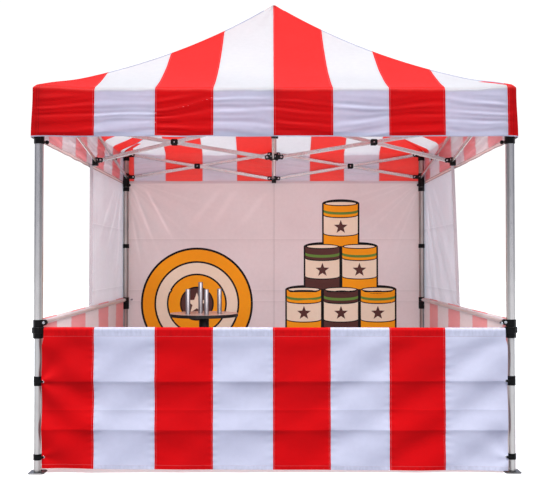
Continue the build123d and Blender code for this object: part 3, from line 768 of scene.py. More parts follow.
def canopy_points():
    """Rows from near the peak over the eave to the hem, columns all round from the front-left corner."""
    edge = np.linspace(-half_canopy, half_canopy, side_columns + 1)
    meet, rolled_out, rolled = eave_rows()
    even_share = np.linspace(peak_start_share ** roof_spacing, 1, roof_rows)
    roof_share = even_share ** (1 / roof_spacing) * meet / half_canopy
    share = np.concatenate([roof_share, rolled_out / half_canopy])
    skirt_top = eave_height - rolled[-1] + 0.007
    drop = np.linspace(skirt_top, eave_height - valance_bottom + valance_stretch, valance_rows)
    flare = valance_flare * smooth(drop, 0.03, 0.30)
    drop[-2] = drop[-1] - 0.003
    radius = np.concatenate([corner_radius * share ** 10, np.full(len(drop), corner_radius)])[:, None]
    limit = np.concatenate([half_canopy * share, half_canopy + flare])[:, None] - radius
    sides, uv_left, uv_right = [], [], []
    for side in range(4):
        roof, roof_uv, lift = roof_side(side, edge, share, meet, rolled)
        skirt, skirt_uv = valance_side(side, edge, drop, flare, lift)
        points = round_corners(np.concatenate([roof, skirt]), radius, limit)
        uv = np.concatenate([roof_uv, skirt_uv])
        sides.append(turned(points, side * math.pi / 2)[:, :-1])
        uv_left.append(uv[:, :-1])
        uv_right.append(uv[:, 1:])
    return [np.concatenate(parts, axis=1) for parts in (sides, uv_left, uv_right)]


def make_canopy(materials, hem_materials, seam_materials):
    """One continuous sheet: roof and valance all round, with paler colours on its inside."""
    points, uv_left, uv_right = canopy_points()
    outside = np.repeat(np.arange(4), side_columns)[None, :] * np.ones((points.shape[0] - 1, 1), int)
    piece = cloth_piece("canopy", points, uv_left, uv_right, materials, wrap=True,
                        peak=(0, 0, peak_height - peak_drop), slots=(outside, outside + 4))
    stood_for = [f"{side}_{part}" for side in side_names for part in ("roof_panel", "valance")]
    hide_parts(*stood_for)
    inner = points - grid_normals(points, True) * (cloth_thickness + valance_hem_gap)
    for side, name in enumerate(side_names):
        columns = slice(side * side_columns + 2, (side + 1) * side_columns - 1)
        strip, uv = (grid[-hem_rows:, columns][:, ::-1] for grid in (inner, uv_left))
        hem_strip(f"{name}_valance_hem", strip, uv, hem_materials[side])
    piping = make_piping(points, seam_materials)


def make_piping(points, materials):
    """The hips' standing seams: a slim fold along each, striped like the cloth beside it, in the roof's paler
    red with painted light and sheen and a darker lavender white that is painted shade.
    """
    section = ((-0.0044, -0.004), (-0.0036, 0.0020), (-0.0018, 0.0036), (0.0018, 0.0036), (0.0036, 0.0020),
               (0.0044, -0.004))
    first_row, last_row = 6, roof_rows + 5
    built = bmesh.new()
    layer = built.loops.layers.uv.new("metres")
    # The hips of the front panel, then those of the back panel
    for corner, (number, sign) in enumerate(((0, -1), (0, 1), (1, -1), (1, 1))):
        line = points[first_row:last_row, corner * side_columns]
        way = Vector((-line[-1][1], line[-1][0], 0)).normalized()
        rings = []
        for row, place in enumerate(line):
            size = min(1.0, 0.15 + (len(line) - 1 - row) / 6)
            rings.append([built.verts.new(Vector(place) + way * out * size + Vector((0, 0, rise * size)))
                          for out, rise in section])
        faces = join_rings(built, rings)
        for face in faces:
            face.material_index = number
        for loop in (loop for face in faces[:-2] for loop in face.loops):
            away = max(abs(loop.vert.co.x), abs(loop.vert.co.y))
            loop[layer].uv = (sign * away, (half_canopy - away) * roof_stretch)
    bmesh.ops.recalc_face_normals(built, faces=built.faces)
    piece = piece_from(built, "hip_seams", materials[0])
    piece.data.materials.append(materials[1])
    return piece


# Counter walls: rows and columns, then sizes in metres
front_columns, front_rows = 230, 96
flap_rows, rail_rows, bend_rows = 5, 13, 5
side_wall_columns, side_wall_rows = 170, 78
bend_end, hang_start = 0.03, 0.04
flap_gap = 0.0004
rail_calm = 0.10
front_ease = 0.006
lower_tie = 0.09
tie_wrinkles = 5
wall_hem_wave, wall_hem_rise, wall_hem_tilt = 0.003, 0.004, 0.008
rail_rise, rail_tilt = 0.0085, 0.003
spread_below_locks = 0.007
side_creases = ((0.56, 0.0035), (0.27, 0.003))
side_crease_form = (0.04, 0.4)
deepest_hollow = -0.001


def crease(height, place, size, width, sharp):
    """A fold line pressed in by packing: a ridge at a height, steeper below."""
    off = height - place
    spread = np.where(off < 0, width * sharp, width)
    return size * np.exp(-np.abs(off) / spread)


def tug(along, height, at, size, reach, count):
    """Wrinkles that fan out from a tied point."""
    away_x, away_z = along - at[0], height - at[1]
    distance = np.hypot(away_x, away_z)
    angle = np.arctan2(away_z, np.abs(away_x) + 1e-6)
    return size * np.sin(count * angle) * np.exp(-distance / reach) * smooth(distance, 0.0, 0.06)


def seam_puckers(along, height, side, seed, size):
    """Small puckers beside each seam."""
    to_seam = np.min([np.abs(along - edge) for edge in stripe_edges[side]], axis=0)
    wave = np.sin(2 * math.pi * height / 0.047 + ripples(along, height, seed, 0.2, 0.6) * 3)
    return size * wave * np.exp(-(to_seam / 0.028) ** 2)


def hung_between(height, upper, lower, depth):
    """A hollow between two pressed creases, deepest near the upper one."""
    share = np.clip((upper - height) / (upper - lower), 0, 1)
    return -depth * np.sin(math.pi * share ** 0.72)


def front_wall_relief(along, height):
    """How far the front counter wall stands out from its plain hang, in metres."""
    total = 0.0036 * ripples(along, height, 5, 0.35, 1.3)
    total += 0.0011 * ripples(along, height * 1.6, 6, 0.10, 0.3)
    drift = 0.003 * ripples(along, along * 0, 51, 0.5, 1.6) - 0.004 * smooth(along, -1.4, -0.6)
    strength = 0.85 + 0.30 * ripples(along, along * 0, 31, 0.35, 1.0)
    creases = (counter_high.z - 0.06, upper_crease, lower_crease, counter_low.z - 0.10)
    for upper, lower, depth in zip(creases, creases[1:], (0.0085, 0.0145, 0.0135)):
        total += hung_between(height - drift, upper, lower, depth) * strength
    total += crease(height, middle_crease + drift, 0.0011, 0.014, 0.6)
    bent = 0.7 * ripples(along, height, 8, 0.5, 1.2)
    rising = np.sin(2 * math.pi * (height * 0.84 - along * 0.54) / 0.27 + bent)
    total += 0.0056 * rising * (0.35 + 0.65 * smooth(along, 0.1, 0.8))
    spread = np.sin(2 * math.pi * (height * 0.80 + along * 0.60) / 0.24 + bent)
    total += 0.0056 * spread * smooth(along, -0.9, -1.3)
    half = counter_high.x + 0.01
    ties = ((-half, upper_crease, 0.0055, 0.30), (-half, lower_tie, 0.0030, 0.20),
            (half, lower_tie, 0.0030, 0.24))
    for tied_x, tied_z, size, reach in ties:
        total += tug(along, height, (tied_x, tied_z), size, reach, tie_wrinkles)
    total += seam_puckers(along, height, "front_counter", 9, 0.0009)
    edge = 0.0006 * np.sin(2 * math.pi * height / 0.019 + 2 * ripples(along, height, 15, 0.08, 0.3))
    total += edge * np.exp(-((half - np.abs(along)) / 0.016) ** 2)
    return total + front_ease


def make_front_wall(materials):
    """The front counter wall: over the rail, down the front, with a flap left behind the rail."""
    centre_y = -half_legs
    radius = centre_y - counter_low.y
    flap = counter_high.z - radius - rail_flap
    along = np.linspace(counter_low.x, counter_high.x, front_columns)
    behind = np.linspace(flap, rail_height, flap_rows)[:-1]
    angles = np.linspace(0, math.pi, rail_rows)
    hang = np.concatenate([np.linspace(rail_height, rail_height - bend_end, bend_rows)[1:],
                           np.linspace(rail_height - hang_start, counter_low.z, front_rows)])
    profile = [(centre_y + radius - flap_gap, z) for z in behind]
    profile += [(centre_y + radius * math.cos(a), rail_height + radius * math.sin(a)) for a in angles]
    profile += [(counter_low.y, z) for z in hang]
    profile = np.array(profile)
    steps = np.concatenate([[0], np.cumsum(np.hypot(*np.diff(profile, axis=0).T))])
    grid_x, grid_z = np.meshgrid(along, profile[:, 1])
    front = np.zeros(len(profile))
    front[-len(hang):] = smooth(rail_height - hang, 0.0, rail_calm)
    grid_y = profile[:, :1] - front_wall_relief(grid_x, grid_z) * front[:, None]
    share = grid_x / counter_high.x
    hem = wall_hem_wave * ripples(grid_x, grid_x * 0, 61, 0.3, 1.0) + wall_hem_rise - wall_hem_tilt * share
    grid_z = grid_z + hem * front[:, None] * smooth(rail_height - grid_z, 0.4, 0.85)
    raised = rail_rise - rail_tilt * share
    grid_z = grid_z + raised * smooth(grid_z, rail_height - rail_calm, rail_height)
    grid_x = grid_x * (1 + spread_below_locks * smooth(lock_bottom - grid_z, 0.0, 0.05))
    uv = stacked(grid_x, (steps[-1] - steps)[:, None])
    piece = flat_cloth("front_counter_cloth", stacked(grid_x, grid_y, grid_z), uv, materials)
    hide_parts("front_counter_wall")


def side_wall_relief(along, height, side, seed):
    """How far a side counter wall stands out from its plain hang."""
    total = 0.004 * ripples(along, height, seed, 0.3, 1.2)
    total += 0.001 * ripples(along, height * 2, seed + 1, 0.1, 0.3)
    for place, size in side_creases:
        total += crease(height, place, size, *side_crease_form)
    return total + seam_puckers(along, height, side, seed + 2, 0.0007)


def make_side_wall(name, turn, materials, seed):
    """A side counter wall, hung outside its rail. along runs left to right seen from outside."""
    along = np.linspace(-side_wall_high.y, side_wall_high.y, side_wall_columns)
    height = np.linspace(side_wall_high.z, side_wall_low.z, side_wall_rows)
    grid_a, grid_z = np.meshgrid(along, height)
    calm = smooth(side_wall_high.z - grid_z, 0.0, 0.12)
    relief = side_wall_relief(grid_a, grid_z, f"{name}_counter", seed)
    outward = side_wall_high.x + np.maximum(relief, deepest_hollow) * calm
    uv = stacked(grid_a, grid_z - side_wall_low.z)
    piece = flat_cloth(f"{name}_counter_cloth", stacked(turn * outward, turn * grid_a, grid_z), uv, materials)
    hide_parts(f"{name}_counter_wall")


# Taut folds: upper end, lower end, half the width, how much lighter as a painted highlight and, on the back
# wall, how deep
back_folds = (((-1.416, 2.05), (-1.190, 1.45), 0.024, 0.15, 0.009),
              ((-1.295, 2.05), (-0.980, 1.46), 0.026, 0.17, 0.010),
              ((-1.430, 1.80), (-1.320, 1.20), 0.022, 0.10, 0.007),
              ((-0.510, 2.06), (-0.900, 1.58), 0.060, 0.055, 0.007),
              ((-0.373, 2.04), (-0.660, 1.58), 0.060, 0.055, 0.007),
              ((-0.060, 2.02), (-0.390, 1.58), 0.060, 0.050, 0.006))
wing_folds = (((1.306, 2.01), (0.742, 1.334), 0.055, 0.10), ((1.096, 2.02), (0.420, 1.482), 0.070, 0.08),
              ((1.346, 1.674), (1.096, 1.089), 0.050, 0.10), ((1.400, 2.02), (1.250, 1.500), 0.030, 0.12))
# Packing creases: heights and sizes, then the width and how much steeper they are below
back_creases = ((1.52, 0.003), (1.0, 0.0045), (0.90, 0.003), (0.50, 0.004))
wing_creases = ((1.52, 0.002), (1.0, 0.002), (0.50, 0.003))
packing_crease = (0.045, 0.4)
# Wrinkles from the back wall's top corners: side, size and number
corner_tugs = ((-1, 0.008, 17), (1, 0.007, 13))
corner_tug_reach = 0.55
back_columns, back_rows = 190, 132
wing_columns, wing_rows = 84, 126
wing_edge_share = 0.02
back_hem_depth, wing_hem_depth = 0.022, 0.030
hem_step, hem_bow = 0.0016, 0.10
hem_outside_wall = 0.06
white_ease = 0.003
deepest_dent = -0.0005


def taut_fold(across, height, upper, lower, width, size):
    """A long hollow between two places that widens downwards and fades at both ends."""
    share = (upper[1] - height) / (upper[1] - lower[1])
    off = across - (upper[0] + (lower[0] - upper[0]) * share)
    spread = width * (1 + 0.6 * np.clip(share, 0, 1))
    return size * np.exp(-(off / spread) ** 2) * smooth(share, 0.0, 0.2) * (1 - smooth(share, 0.55, 1.0))


def back_wall_relief(across, height):
    """How far the back wall stands back from its plain hang. across is x, seen from the front."""
    total = 0.0075 * ripples(across, height, 201, 0.5, 1.7)
    total += 0.0016 * ripples(across, height, 202, 0.14, 0.4)
    for place, size in back_creases:
        drift = 0.006 * ripples(across, across * 0, int(place * 100), 0.4, 1.5)
        total += crease(height, place + drift, size, *packing_crease)
    for side, size, count in corner_tugs:
        total += tug(across, height, (side * back_high.x, back_high.z), size, corner_tug_reach, count)
    for upper, lower, width, _, size in back_folds:
        total += taut_fold(across, height, upper, lower, width, size)
    return total + white_ease


def back_surface(across, height):
    """The back wall's outside, y at a place."""
    calm = smooth(back_high.z - height, 0.0, 0.22) * smooth(back_high.x - np.abs(across), 0.0, 0.05)
    return back_high.y + np.maximum(back_wall_relief(across, height), deepest_dent) * calm


def make_back_wall(material, hem_material):
    """The white back wall, with a hem inside its top and the print on its front."""
    across = np.linspace(back_high.x, back_low.x, back_columns)
    height = np.linspace(back_high.z, back_low.z, back_rows)
    grid_x, grid_z = np.meshgrid(across, height)
    points = stacked(grid_x, back_surface(grid_x, grid_z), grid_z)
    piece = flat_cloth("back_wall_cloth", points, points[..., [0, 2]], [material])
    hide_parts("back_wall")
    hem_x, hem_z = np.meshgrid(across[3:-3], np.linspace(back_high.z, back_high.z - back_hem_depth, 4))
    hem_points = stacked(hem_x, back_surface(hem_x, hem_z) - cloth_thickness - hem_gap, hem_z)
    hem = hem_strip("back_wall_top_hem", hem_points, hem_points[..., [0, 2]], hem_material)
    prints = make_prints()


def wing_grid(side, share, height):
    """Points on a wing's outside: share runs from its free edge, 0, to the back corner, 1."""
    low, high = wing_boxes[side]
    rise = (height - low.z) / (high.z - low.z)
    low_edge, top_edge = wing_free_edges[side]
    free = low_edge + (top_edge - low_edge) * rise
    depth = free + (high.y - free) * share
    relief = 0.005 * ripples(depth, height * 0.4, 300 + side, 0.16, 0.7)
    relief += 0.004 * ripples(depth, height, 303 + side, 0.4, 1.4)
    # Long folds that fan down from the back corner's top
    fan = np.arctan2(high.y - depth + 0.05, high.z + 0.10 - height)
    relief += 0.011 * np.sin(26 * fan + 1.5 * rise) * smooth(high.z - height, 0.05, 0.7)
    for place, size in wing_creases:
        relief += crease(height, place, size, *packing_crease)
    calm = smooth(high.z - height, 0.0, 0.18) * smooth(high.y - depth, 0.0, 0.05)
    calm *= smooth(depth - free, 0.0, 0.18)
    face = wing_boxes[1][1].x
    return stacked(side * (face + np.maximum(relief + white_ease, deepest_dent) * calm), depth, height)


def make_wing(side, material, hem_material, top_material):
    """A back wing along one side, with a hem down its free edge and one inside its top."""
    name = "left" if side < 0 else "right"
    low, high = wing_boxes[side]
    shares = np.concatenate([[0, wing_edge_share / 2], np.linspace(wing_edge_share, 1, wing_columns)])
    if side < 0:
        shares = shares[::-1]
    grid_s, grid_z = np.meshgrid(shares, np.linspace(high.z, low.z, wing_rows))
    points = wing_grid(side, grid_s, grid_z)
    piece = flat_cloth(f"{name}_wing_cloth", points, points[..., 1:], [material])
    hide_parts(f"{name}_back_wing")
    free_edge = points[:, -1] if side < 0 else points[:, 0]
    reach = np.linspace(0, wing_return, 5)
    # Below the counter wall's top the turned edge stays outside that wall
    above_wall = smooth(free_edge[:, 2], side_wall_high.z, side_wall_high.z + 0.03)
    above_wall = hem_outside_wall + (1 - hem_outside_wall) * above_wall
    inward = (-side * reach if side < 0 else -side * reach[::-1])[None, :] * above_wall[:, None]
    hem_points = np.repeat(free_edge[:, None, :], len(reach), axis=1)
    hem_points[..., 0] += inward
    hem_points[..., 1] -= hem_step + hem_bow * np.abs(inward) * (1 - np.abs(inward) / wing_return)
    hem = hem_strip(f"{name}_wing_hem", hem_points, hem_points[..., [0, 2]], hem_material)
    hem_heights = np.linspace(high.z - 0.0005, high.z - wing_hem_depth, 4)
    top_points = wing_grid(side, *np.meshgrid(shares, hem_heights))
    top_points[..., 0] -= side * (cloth_thickness + hem_gap)
    top_hem = hem_strip(f"{name}_wing_top_hem", top_points, top_points[..., 1:], top_material)


# Prints on the back wall, in metres of x and z
print_lift = 0.0007
print_cell = 0.03
target_centre = (-0.77, 0.88)
target_rings = ((0.560, "ink"), (0.539, "gold"), (0.425, "ink"), (0.407, "cream"), (0.300, "ink"),
                (0.283, "gold"), (0.170, "ink"), (0.155, "brown"))
target_star = 0.110
star_points = 5
star_inner_share = 0.42
print_thickness = 0.0004
layer_step = 0.6
can_width = 0.34
can_height = 0.40
can_gap = 0.030
can_line = 0.017
can_bow = 0.026
can_label = (0.095, 0.290)
label_line = 0.010
can_stripe = (0.315, 0.340)
can_star, can_star_height = 0.072, 0.165
stack_centre = 0.67
stack_bottom = 0.62


def ellipse(centre, half_width, half_height, count=48):
    return [(centre[0] + half_width * x, centre[1] + half_height * z) for x, z in circle(count)]


def star(centre, radius):
    outline = []
    for k in range(2 * star_points):
        reach = radius if k % 2 == 0 else radius * star_inner_share
        turn = math.pi / 2 + math.pi * k / star_points
        outline.append((centre[0] + reach * math.cos(turn), centre[1] + reach * math.sin(turn)))
    return outline


def barrel(centre_x, bottom, top, half_width, bow):
    """A band round a can: upright sides, with its two ends bowed down."""
    turns = [math.pi * k / 16 for k in range(17)]
    low = [(centre_x - half_width * math.cos(t), bottom - bow * math.sin(t)) for t in turns]
    high = [(centre_x + half_width * math.cos(t), top - bow * math.sin(t)) for t in turns]
    return low + high


def can_shapes(centre_x, bottom, body_ink):
    """Outlines of one stacked can, in the order that they are printed."""
    half, bow = can_width / 2, can_bow
    top = bottom + can_height
    label_low, label_high = (bottom + height for height in can_label)
    stripe_low, stripe_high = (bottom + height for height in can_stripe)
    yield "ink", 0, barrel(centre_x, bottom - can_line, top, half + can_line, bow)
    yield "ink", 0, ellipse((centre_x, top), half + can_line, bow + can_line)
    yield body_ink, 1, barrel(centre_x, bottom, top, half, bow)
    yield "ink", 2, barrel(centre_x, label_low, label_high, half, bow)
    yield "cream", 3, barrel(centre_x, label_low + label_line, label_high - label_line, half, bow)
    yield "green", 2, barrel(centre_x, stripe_low, stripe_high, half, bow)
    yield "ink", 2, ellipse((centre_x, top), half, bow)
    yield "cream", 3, ellipse((centre_x, top), half - can_line, bow - can_line * 0.6)
    yield "brown", 4, star((centre_x, bottom + can_star_height), can_star)


def print_shapes():
    """Every printed outline with its ink and its layer."""
    for layer, (radius, ink) in enumerate(target_rings):
        yield ink, layer, ellipse(target_centre, radius, radius, 72)
    yield "cream", len(target_rings), star(target_centre, target_star)
    for row, count in enumerate((3, 2, 1)):
        for place in range(count):
            centre_x = stack_centre + (place - (count - 1) / 2) * (can_width + can_gap)
            body_ink = "gold" if (row + place) % 2 == 0 else "brown"
            yield from can_shapes(centre_x, stack_bottom + row * (can_height + can_gap), body_ink)


def add_print(mesh_builder, outline, layer):
    """One thin printed patch that follows the wall's folds."""
    flat = bmesh.new()
    flat.faces.new([flat.verts.new((x, 0, z)) for x, z in outline])
    xs, zs = [x for x, _ in outline], [z for _, z in outline]
    for low, high, way in ((min(xs), max(xs), Vector((1, 0, 0))), (min(zs), max(zs), Vector((0, 0, 1)))):
        cut = (math.floor(low / print_cell) + 1) * print_cell
        while cut < high:
            everything = flat.verts[:] + flat.edges[:] + flat.faces[:]
            bmesh.ops.bisect_plane(flat, geom=everything, plane_co=way * cut, plane_no=way)
            cut += print_cell
    lift = print_lift * (1 + layer_step * layer)
    places = np.array([(v.co.x, v.co.z) for v in flat.verts])
    behind = back_surface(places[:, 0], places[:, 1]) - cloth_thickness
    top, low = [], []
    for vert, (x, z), y in zip(flat.verts, places, behind):
        top.append(mesh_builder.verts.new((x, y - lift, z)))
        low.append(mesh_builder.verts.new((x, y - lift + print_thickness, z)))
        vert.index = len(top) - 1
    for face in flat.faces:
        order = [v.index for v in face.verts]
        if face.normal.y > 0:
            order.reverse()
        mesh_builder.faces.new([top[k] for k in order])
        mesh_builder.faces.new([low[k] for k in reversed(order)])
    for edge in flat.edges:
        if len(edge.link_faces) == 1:
            a, b = (v.index for v in edge.verts)
            mesh_builder.faces.new([top[a], top[b], low[b], low[a]])
    flat.free()


def make_prints():
    """A target and a stack of cans printed on the back wall, one piece for each ink."""
    builders = {ink: bmesh.new() for ink in inks}
    for ink, layer, outline in print_shapes():
        add_print(builders[ink], outline, layer)
    pieces = []
    for ink, tones in inks.items():
        built = builders[ink]
        bmesh.ops.recalc_face_normals(built, faces=built.faces)
        layer = built.loops.layers.uv.new("metres")
        for face in built.faces:
            for loop in face.loops:
                loop[layer].uv = (loop.vert.co.x, loop.vert.co.z)
        piece = piece_from(built, f"{ink}_print", plain_cloth(f"{ink}_print", *tones, through=0.12))
        pieces.append(piece)
    return pieces


def soften(node, width):
    """Rounded edges that catch the light."""
    weld = node.modifiers.new("joined", "WELD")
    weld.merge_threshold = weld_distance
    bevel = node.modifiers.new("rounded", "BEVEL")
    bevel.width = width
    bevel.segments = 2
    bevel.limit_method = "ANGLE"
    bevel.angle_limit = math.radians(40)


# Finishes
upright_streak = (6, 6, 0.15)
level_streak = (1, 1, 6)
pin_streak = (6, 6, 0.2)
weld_distance = 0.00002
moulded_names = ("leg_heads|leg_sliders|leg_locks|rail_clamps|truss_pivots|truss_mid_connectors|"
                 "mast_hubs|peak_cap")


def finish_frame(black, strap, steel):
    """Procedural finishes on the CAD nodes that stay in view, with softened edges on the moulded ones."""
    upright = metal("anodised_upright", (0.61, 0.59, 0.575), (0.52, 0.50, 0.485), 0.30, upright_streak,
                    painted_edge_shade=0.52)
    lower = metal("anodised_lower", (0.46, 0.455, 0.45), (0.37, 0.365, 0.36), 0.30, upright_streak,
                  painted_edge_shade=0.50)
    # Painted shade: the back legs take a darker copy of the uprights' finish
    shaded_rear = metal("rear_leg_painted_shade", (0.42, 0.39, 0.37), (0.34, 0.315, 0.30), 0.34, upright_streak,
                 painted_edge_shade=0.55)
    bars = metal("anodised_bars", (0.57, 0.60, 0.61), (0.46, 0.485, 0.495), 0.28, level_streak, 0.92)
    rail = metal("anodised_rail", (0.62, 0.60, 0.60), (0.52, 0.50, 0.50), 0.42, level_streak, 0.55)
    plate = metal("foot_steel", (0.16, 0.16, 0.165), (0.07, 0.068, 0.065), 0.5, (2, 2, 2))
    table = table_with_painted_reflection("table_top", table_high.z - 0.0005)
    # The first rule whose words fit a node's name gives its finish and how far its edges are rounded
    rules = ((f"^({moulded_names})$", black, 0.0016), ("leg_straps|bands", strap, 0),
             ("foot_plate", plate, 0), ("^game_table", table, 0.002), ("^game_pins$", steel, 0),
             ("rail$", rail, 0), ("truss_bars", bars, 0), ("^back_.*leg$", shaded_rear, 0),
             ("inner_leg$", lower, 0), ("", upright, 0))
    for name, node in nodes.items():
        finish, width = next(rule[1:] for rule in rules if re.search(rule[0], name))
        if width:
            soften(node, width)
        node.data.materials.clear()
        node.data.materials.append(finish)


# Fasteners and small fittings
bolt_sides = 14
washer_radius = 0.0090
washer_depth = 0.0014
bolt_radius = 0.0062
bolt_depth = 0.0042
rivet_radius = 0.0055
rivet_depth = 0.0030
fork_half_width = 0.0143
washer_sink = 0.0005
head_sink = 0.0002
# Where forks stand: out from a leg, from a mid connector's middle, in to the mast, from the mast
leg_fork, mid_fork, inward_fork, hub_fork = 0.072, 0.046, 0.067, 0.058
outer_plane, inner_plane = 0.012, 0.030
bar_side = 0.009
rail_pin_reach, rail_pin_height, rail_pin_half = 0.058, 0.92275, 0.0113
boss_reach = 0.036
boss_half = 0.015
boss_height = 0.928
boss_radius = 0.0185
grommets = [(side, height) for side in (-1, 1) for height in strap_heights]
wall_edge = 0.004
grommet_rings, grommet_sides = 10, 22
grommet_sink = 0.0003
grommet_radius = 0.0060
grommet_half_width = 0.0022
grommet_half_depth = 0.0012
tab_half_depth = 0.008
tab_thickness = 0.0022
tab_start_inset, tab_start_front = 0.010, 0.0262
tab_end_inset, tab_end_front = 0.006, 0.0024
tab_bow = 0.0035
tab_taper = 0.3
tab_steps = 12
boss_sides = 28
pin_sides = 36
towards_front = Vector((0, -1, 0))


def add_turned(built, base, turn, profile, sides):
    """A turned form on base: profile holds the radius and the rise of each ring."""
    join_rings(built, [[built.verts.new(base + turn @ Vector((radius * x, radius * y, rise)))
                        for x, y in circle(sides)] for radius, rise in profile])


def add_disc(built, base, axis, radius, depth, sides=bolt_sides, edge_share=0.25):
    """A disc with a rounded rim that stands on base along axis."""
    edge = depth * edge_share
    profile = (radius, 0.0), (radius, depth - edge), (radius - edge, depth)
    add_turned(built, base, axis.to_track_quat("Z", "Y"), profile, sides)


def add_bolt(built, place, axis):
    """A washer and a hexagon head on a face."""
    add_disc(built, place - axis * washer_sink, axis, washer_radius, washer_depth + washer_sink)
    add_disc(built, place + axis * (washer_depth - head_sink), axis, bolt_radius, bolt_depth, sides=6)


def bolt_places():
    """Where the forks' and pivots' bolts show, as face places and outward directions."""
    places = []
    across_x, across_y = Vector((1, 0, 0)), Vector((0, 1, 0))
    corner = -half_legs

    def add(axis, x, y, height, reach=fork_half_width):
        places.append((Vector((x, y, height)), axis, reach))

    for height, inset in ((head_pivot, inner_plane), (slider_pivot, outer_plane)):
        add(across_y, corner + leg_fork, corner + inset, height)
        add(across_x, corner + inset, corner + leg_fork, height)
    mids = (mid_upper_pivot, outer_plane, -bar_side), (mid_lower_pivot, inner_plane, bar_side)
    for height, inset, lean in mids:
        for way in (-1, 1):
            add(across_y, way * mid_fork, corner + inset, height)
        add(across_x, lean, corner + inward_fork, height)
    for height, lean in ((hub_upper_pivot, bar_side), (hub_lower_pivot, -bar_side)):
        add(across_x, lean, -hub_fork, height)
    add(across_x, corner, corner + rail_pin_reach, rail_pin_height, rail_pin_half)
    faces = []
    for quarter in range(4):
        spin = Matrix.Rotation(quarter * math.pi / 2, 3, "Z")
        for place, axis, reach in places:
            for way in (-1, 1):
                faces.append((spin @ (place + axis * way * reach), spin @ (axis * way)))
    return faces


def pivot_plate_faces():
    """The two outer faces of each scissor pivot, from the CAD node's own separate solids."""
    node = nodes["truss_pivots"]
    built = bmesh.new()
    built.from_mesh(node.data)
    bmesh.ops.remove_doubles(built, verts=built.verts, dist=weld_distance)
    faces, seen = [], set()
    for first in built.verts:
        if first in seen:
            continue
        group, queue = [], [first]
        seen.add(first)
        while queue:
            vert = queue.pop()
            group.append(node.matrix_world @ vert.co)
            for edge in vert.link_edges:
                other = edge.other_vert(vert)
                if other not in seen:
                    seen.add(other)
                    queue.append(other)
        low = Vector([min(v[k] for v in group) for k in range(3)])
        high = Vector([max(v[k] for v in group) for k in range(3)])
        size = high - low
        thin = 0 if size.x < size.y else 1
        axis = Vector([1.0 if k == thin else 0.0 for k in range(3)])
        centre = (low + high) / 2
        faces.append((centre + axis * size[thin] / 2, axis))
        faces.append((centre - axis * size[thin] / 2, -axis))
    built.free()
    return faces


def make_bolts(steel):
    """Bolts in every fork and pivot, as one mesh."""
    built = bmesh.new()
    for place, axis in bolt_places():
        add_bolt(built, place, axis)
    for place, axis in pivot_plate_faces():
        add_disc(built, place - axis * washer_sink, axis, rivet_radius, rivet_depth)
    for side in (-1, 1):
        boss_face = Vector((side * (half_legs - boss_reach), -half_legs - boss_half, boss_height))
        add_bolt(built, boss_face, towards_front)
    piece_from(built, "bolts", steel)


def wall_face(side, height):
    """The front counter wall's outside beside its edge: x and y."""
    across = side * (counter_high.x + wall_edge)
    relief = float(front_wall_relief(np.array([across]), np.array([height]))[0])
    return across, counter_low.y - relief


def make_grommets(steel):
    """Rings where the straps tie the front counter wall."""
    built = bmesh.new()
    for side, height in grommets:
        across, face = wall_face(side, height)
        rings = []
        for out, rise in circle(grommet_rings):
            reach = grommet_radius + grommet_half_width * out
            depth = face + grommet_sink - grommet_half_depth * rise
            rings.append([built.verts.new((across - side * wall_edge + reach * x, depth, height + reach * z))
                          for x, z in circle(grommet_sides)])
        join_rings(built, rings, closed=True)
    bmesh.ops.recalc_face_normals(built, faces=built.faces)
    piece_from(built, "wall_grommets", steel)


def make_tabs(strap):
    """Short webbing tabs from the front leg straps to the wall's grommets."""
    built = bmesh.new()
    for side, height in grommets:
        across, face = wall_face(side, height)
        start = Vector((side * (half_legs - tab_start_inset), -half_legs - tab_start_front, height))
        finish = Vector((across - side * tab_end_inset, face - tab_end_front, height))
        rings = []
        for k in range(tab_steps + 1):
            share = k / tab_steps
            middle = start.lerp(finish, share)
            middle.y -= tab_bow * math.sin(math.pi * share)
            half = tab_half_depth * (1 - tab_taper * share ** 4)
            section = (0, -half), (0, half), (-tab_thickness, half), (-tab_thickness, -half)
            rings.append([built.verts.new(middle + Vector((0, out, rise))) for out, rise in section])
        join_rings(built, rings)
    bmesh.ops.recalc_face_normals(built, faces=built.faces)
    piece_from(built, "wall_tabs", strap)


def make_clamp_bosses(black):
    """The round eye on the inner side of each front rail clamp."""
    built = bmesh.new()
    for side in (-1, 1):
        start = Vector((side * (half_legs - boss_reach), -half_legs + boss_half, boss_height))
        add_disc(built, start, towards_front, boss_radius, 2 * boss_half, boss_sides, edge_share=0.1)
    piece_from(built, "clamp_bosses", black)


def make_pins(steel):
    """Turned steel pins in place of the plain ones."""
    foot = ((0.0175, 0.0), (0.0185, 0.0012), (0.0185, 0.010), (0.0178, 0.0108), (0.0178, 0.0122),
            (0.0185, 0.0130))
    top = ((0.0185, -0.0045), (0.0180, -0.0022), (0.0168, -0.0007), (0.0150, 0.0))
    middle = (table_low + table_high) / 2
    built = bmesh.new()
    for share_x, share_y, height in game_pins:
        centre = Vector((middle.x + share_x * table_radius, middle.y + share_y * table_radius, table_high.z))
        profile = [*foot, *((radius, height + rise) for radius, rise in top)]
        add_turned(built, centre, Matrix.Identity(3), profile, pin_sides)
    piece = piece_from(built, "turned_pins", steel)
    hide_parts("game_pins")


# Stage
floor_reach = 40.0
fill_colour = (0.79, 0.83, 1.0, 1.0)
seen_strength = 1.05
sun_leans = math.radians(23), math.radians(-6)
sun_softness = math.radians(24)
fill_place, fill_target = Vector((0, -1.33, 1.45)), Vector((0, 1.5, 1.25))
fill_size = 2.6, 0.9


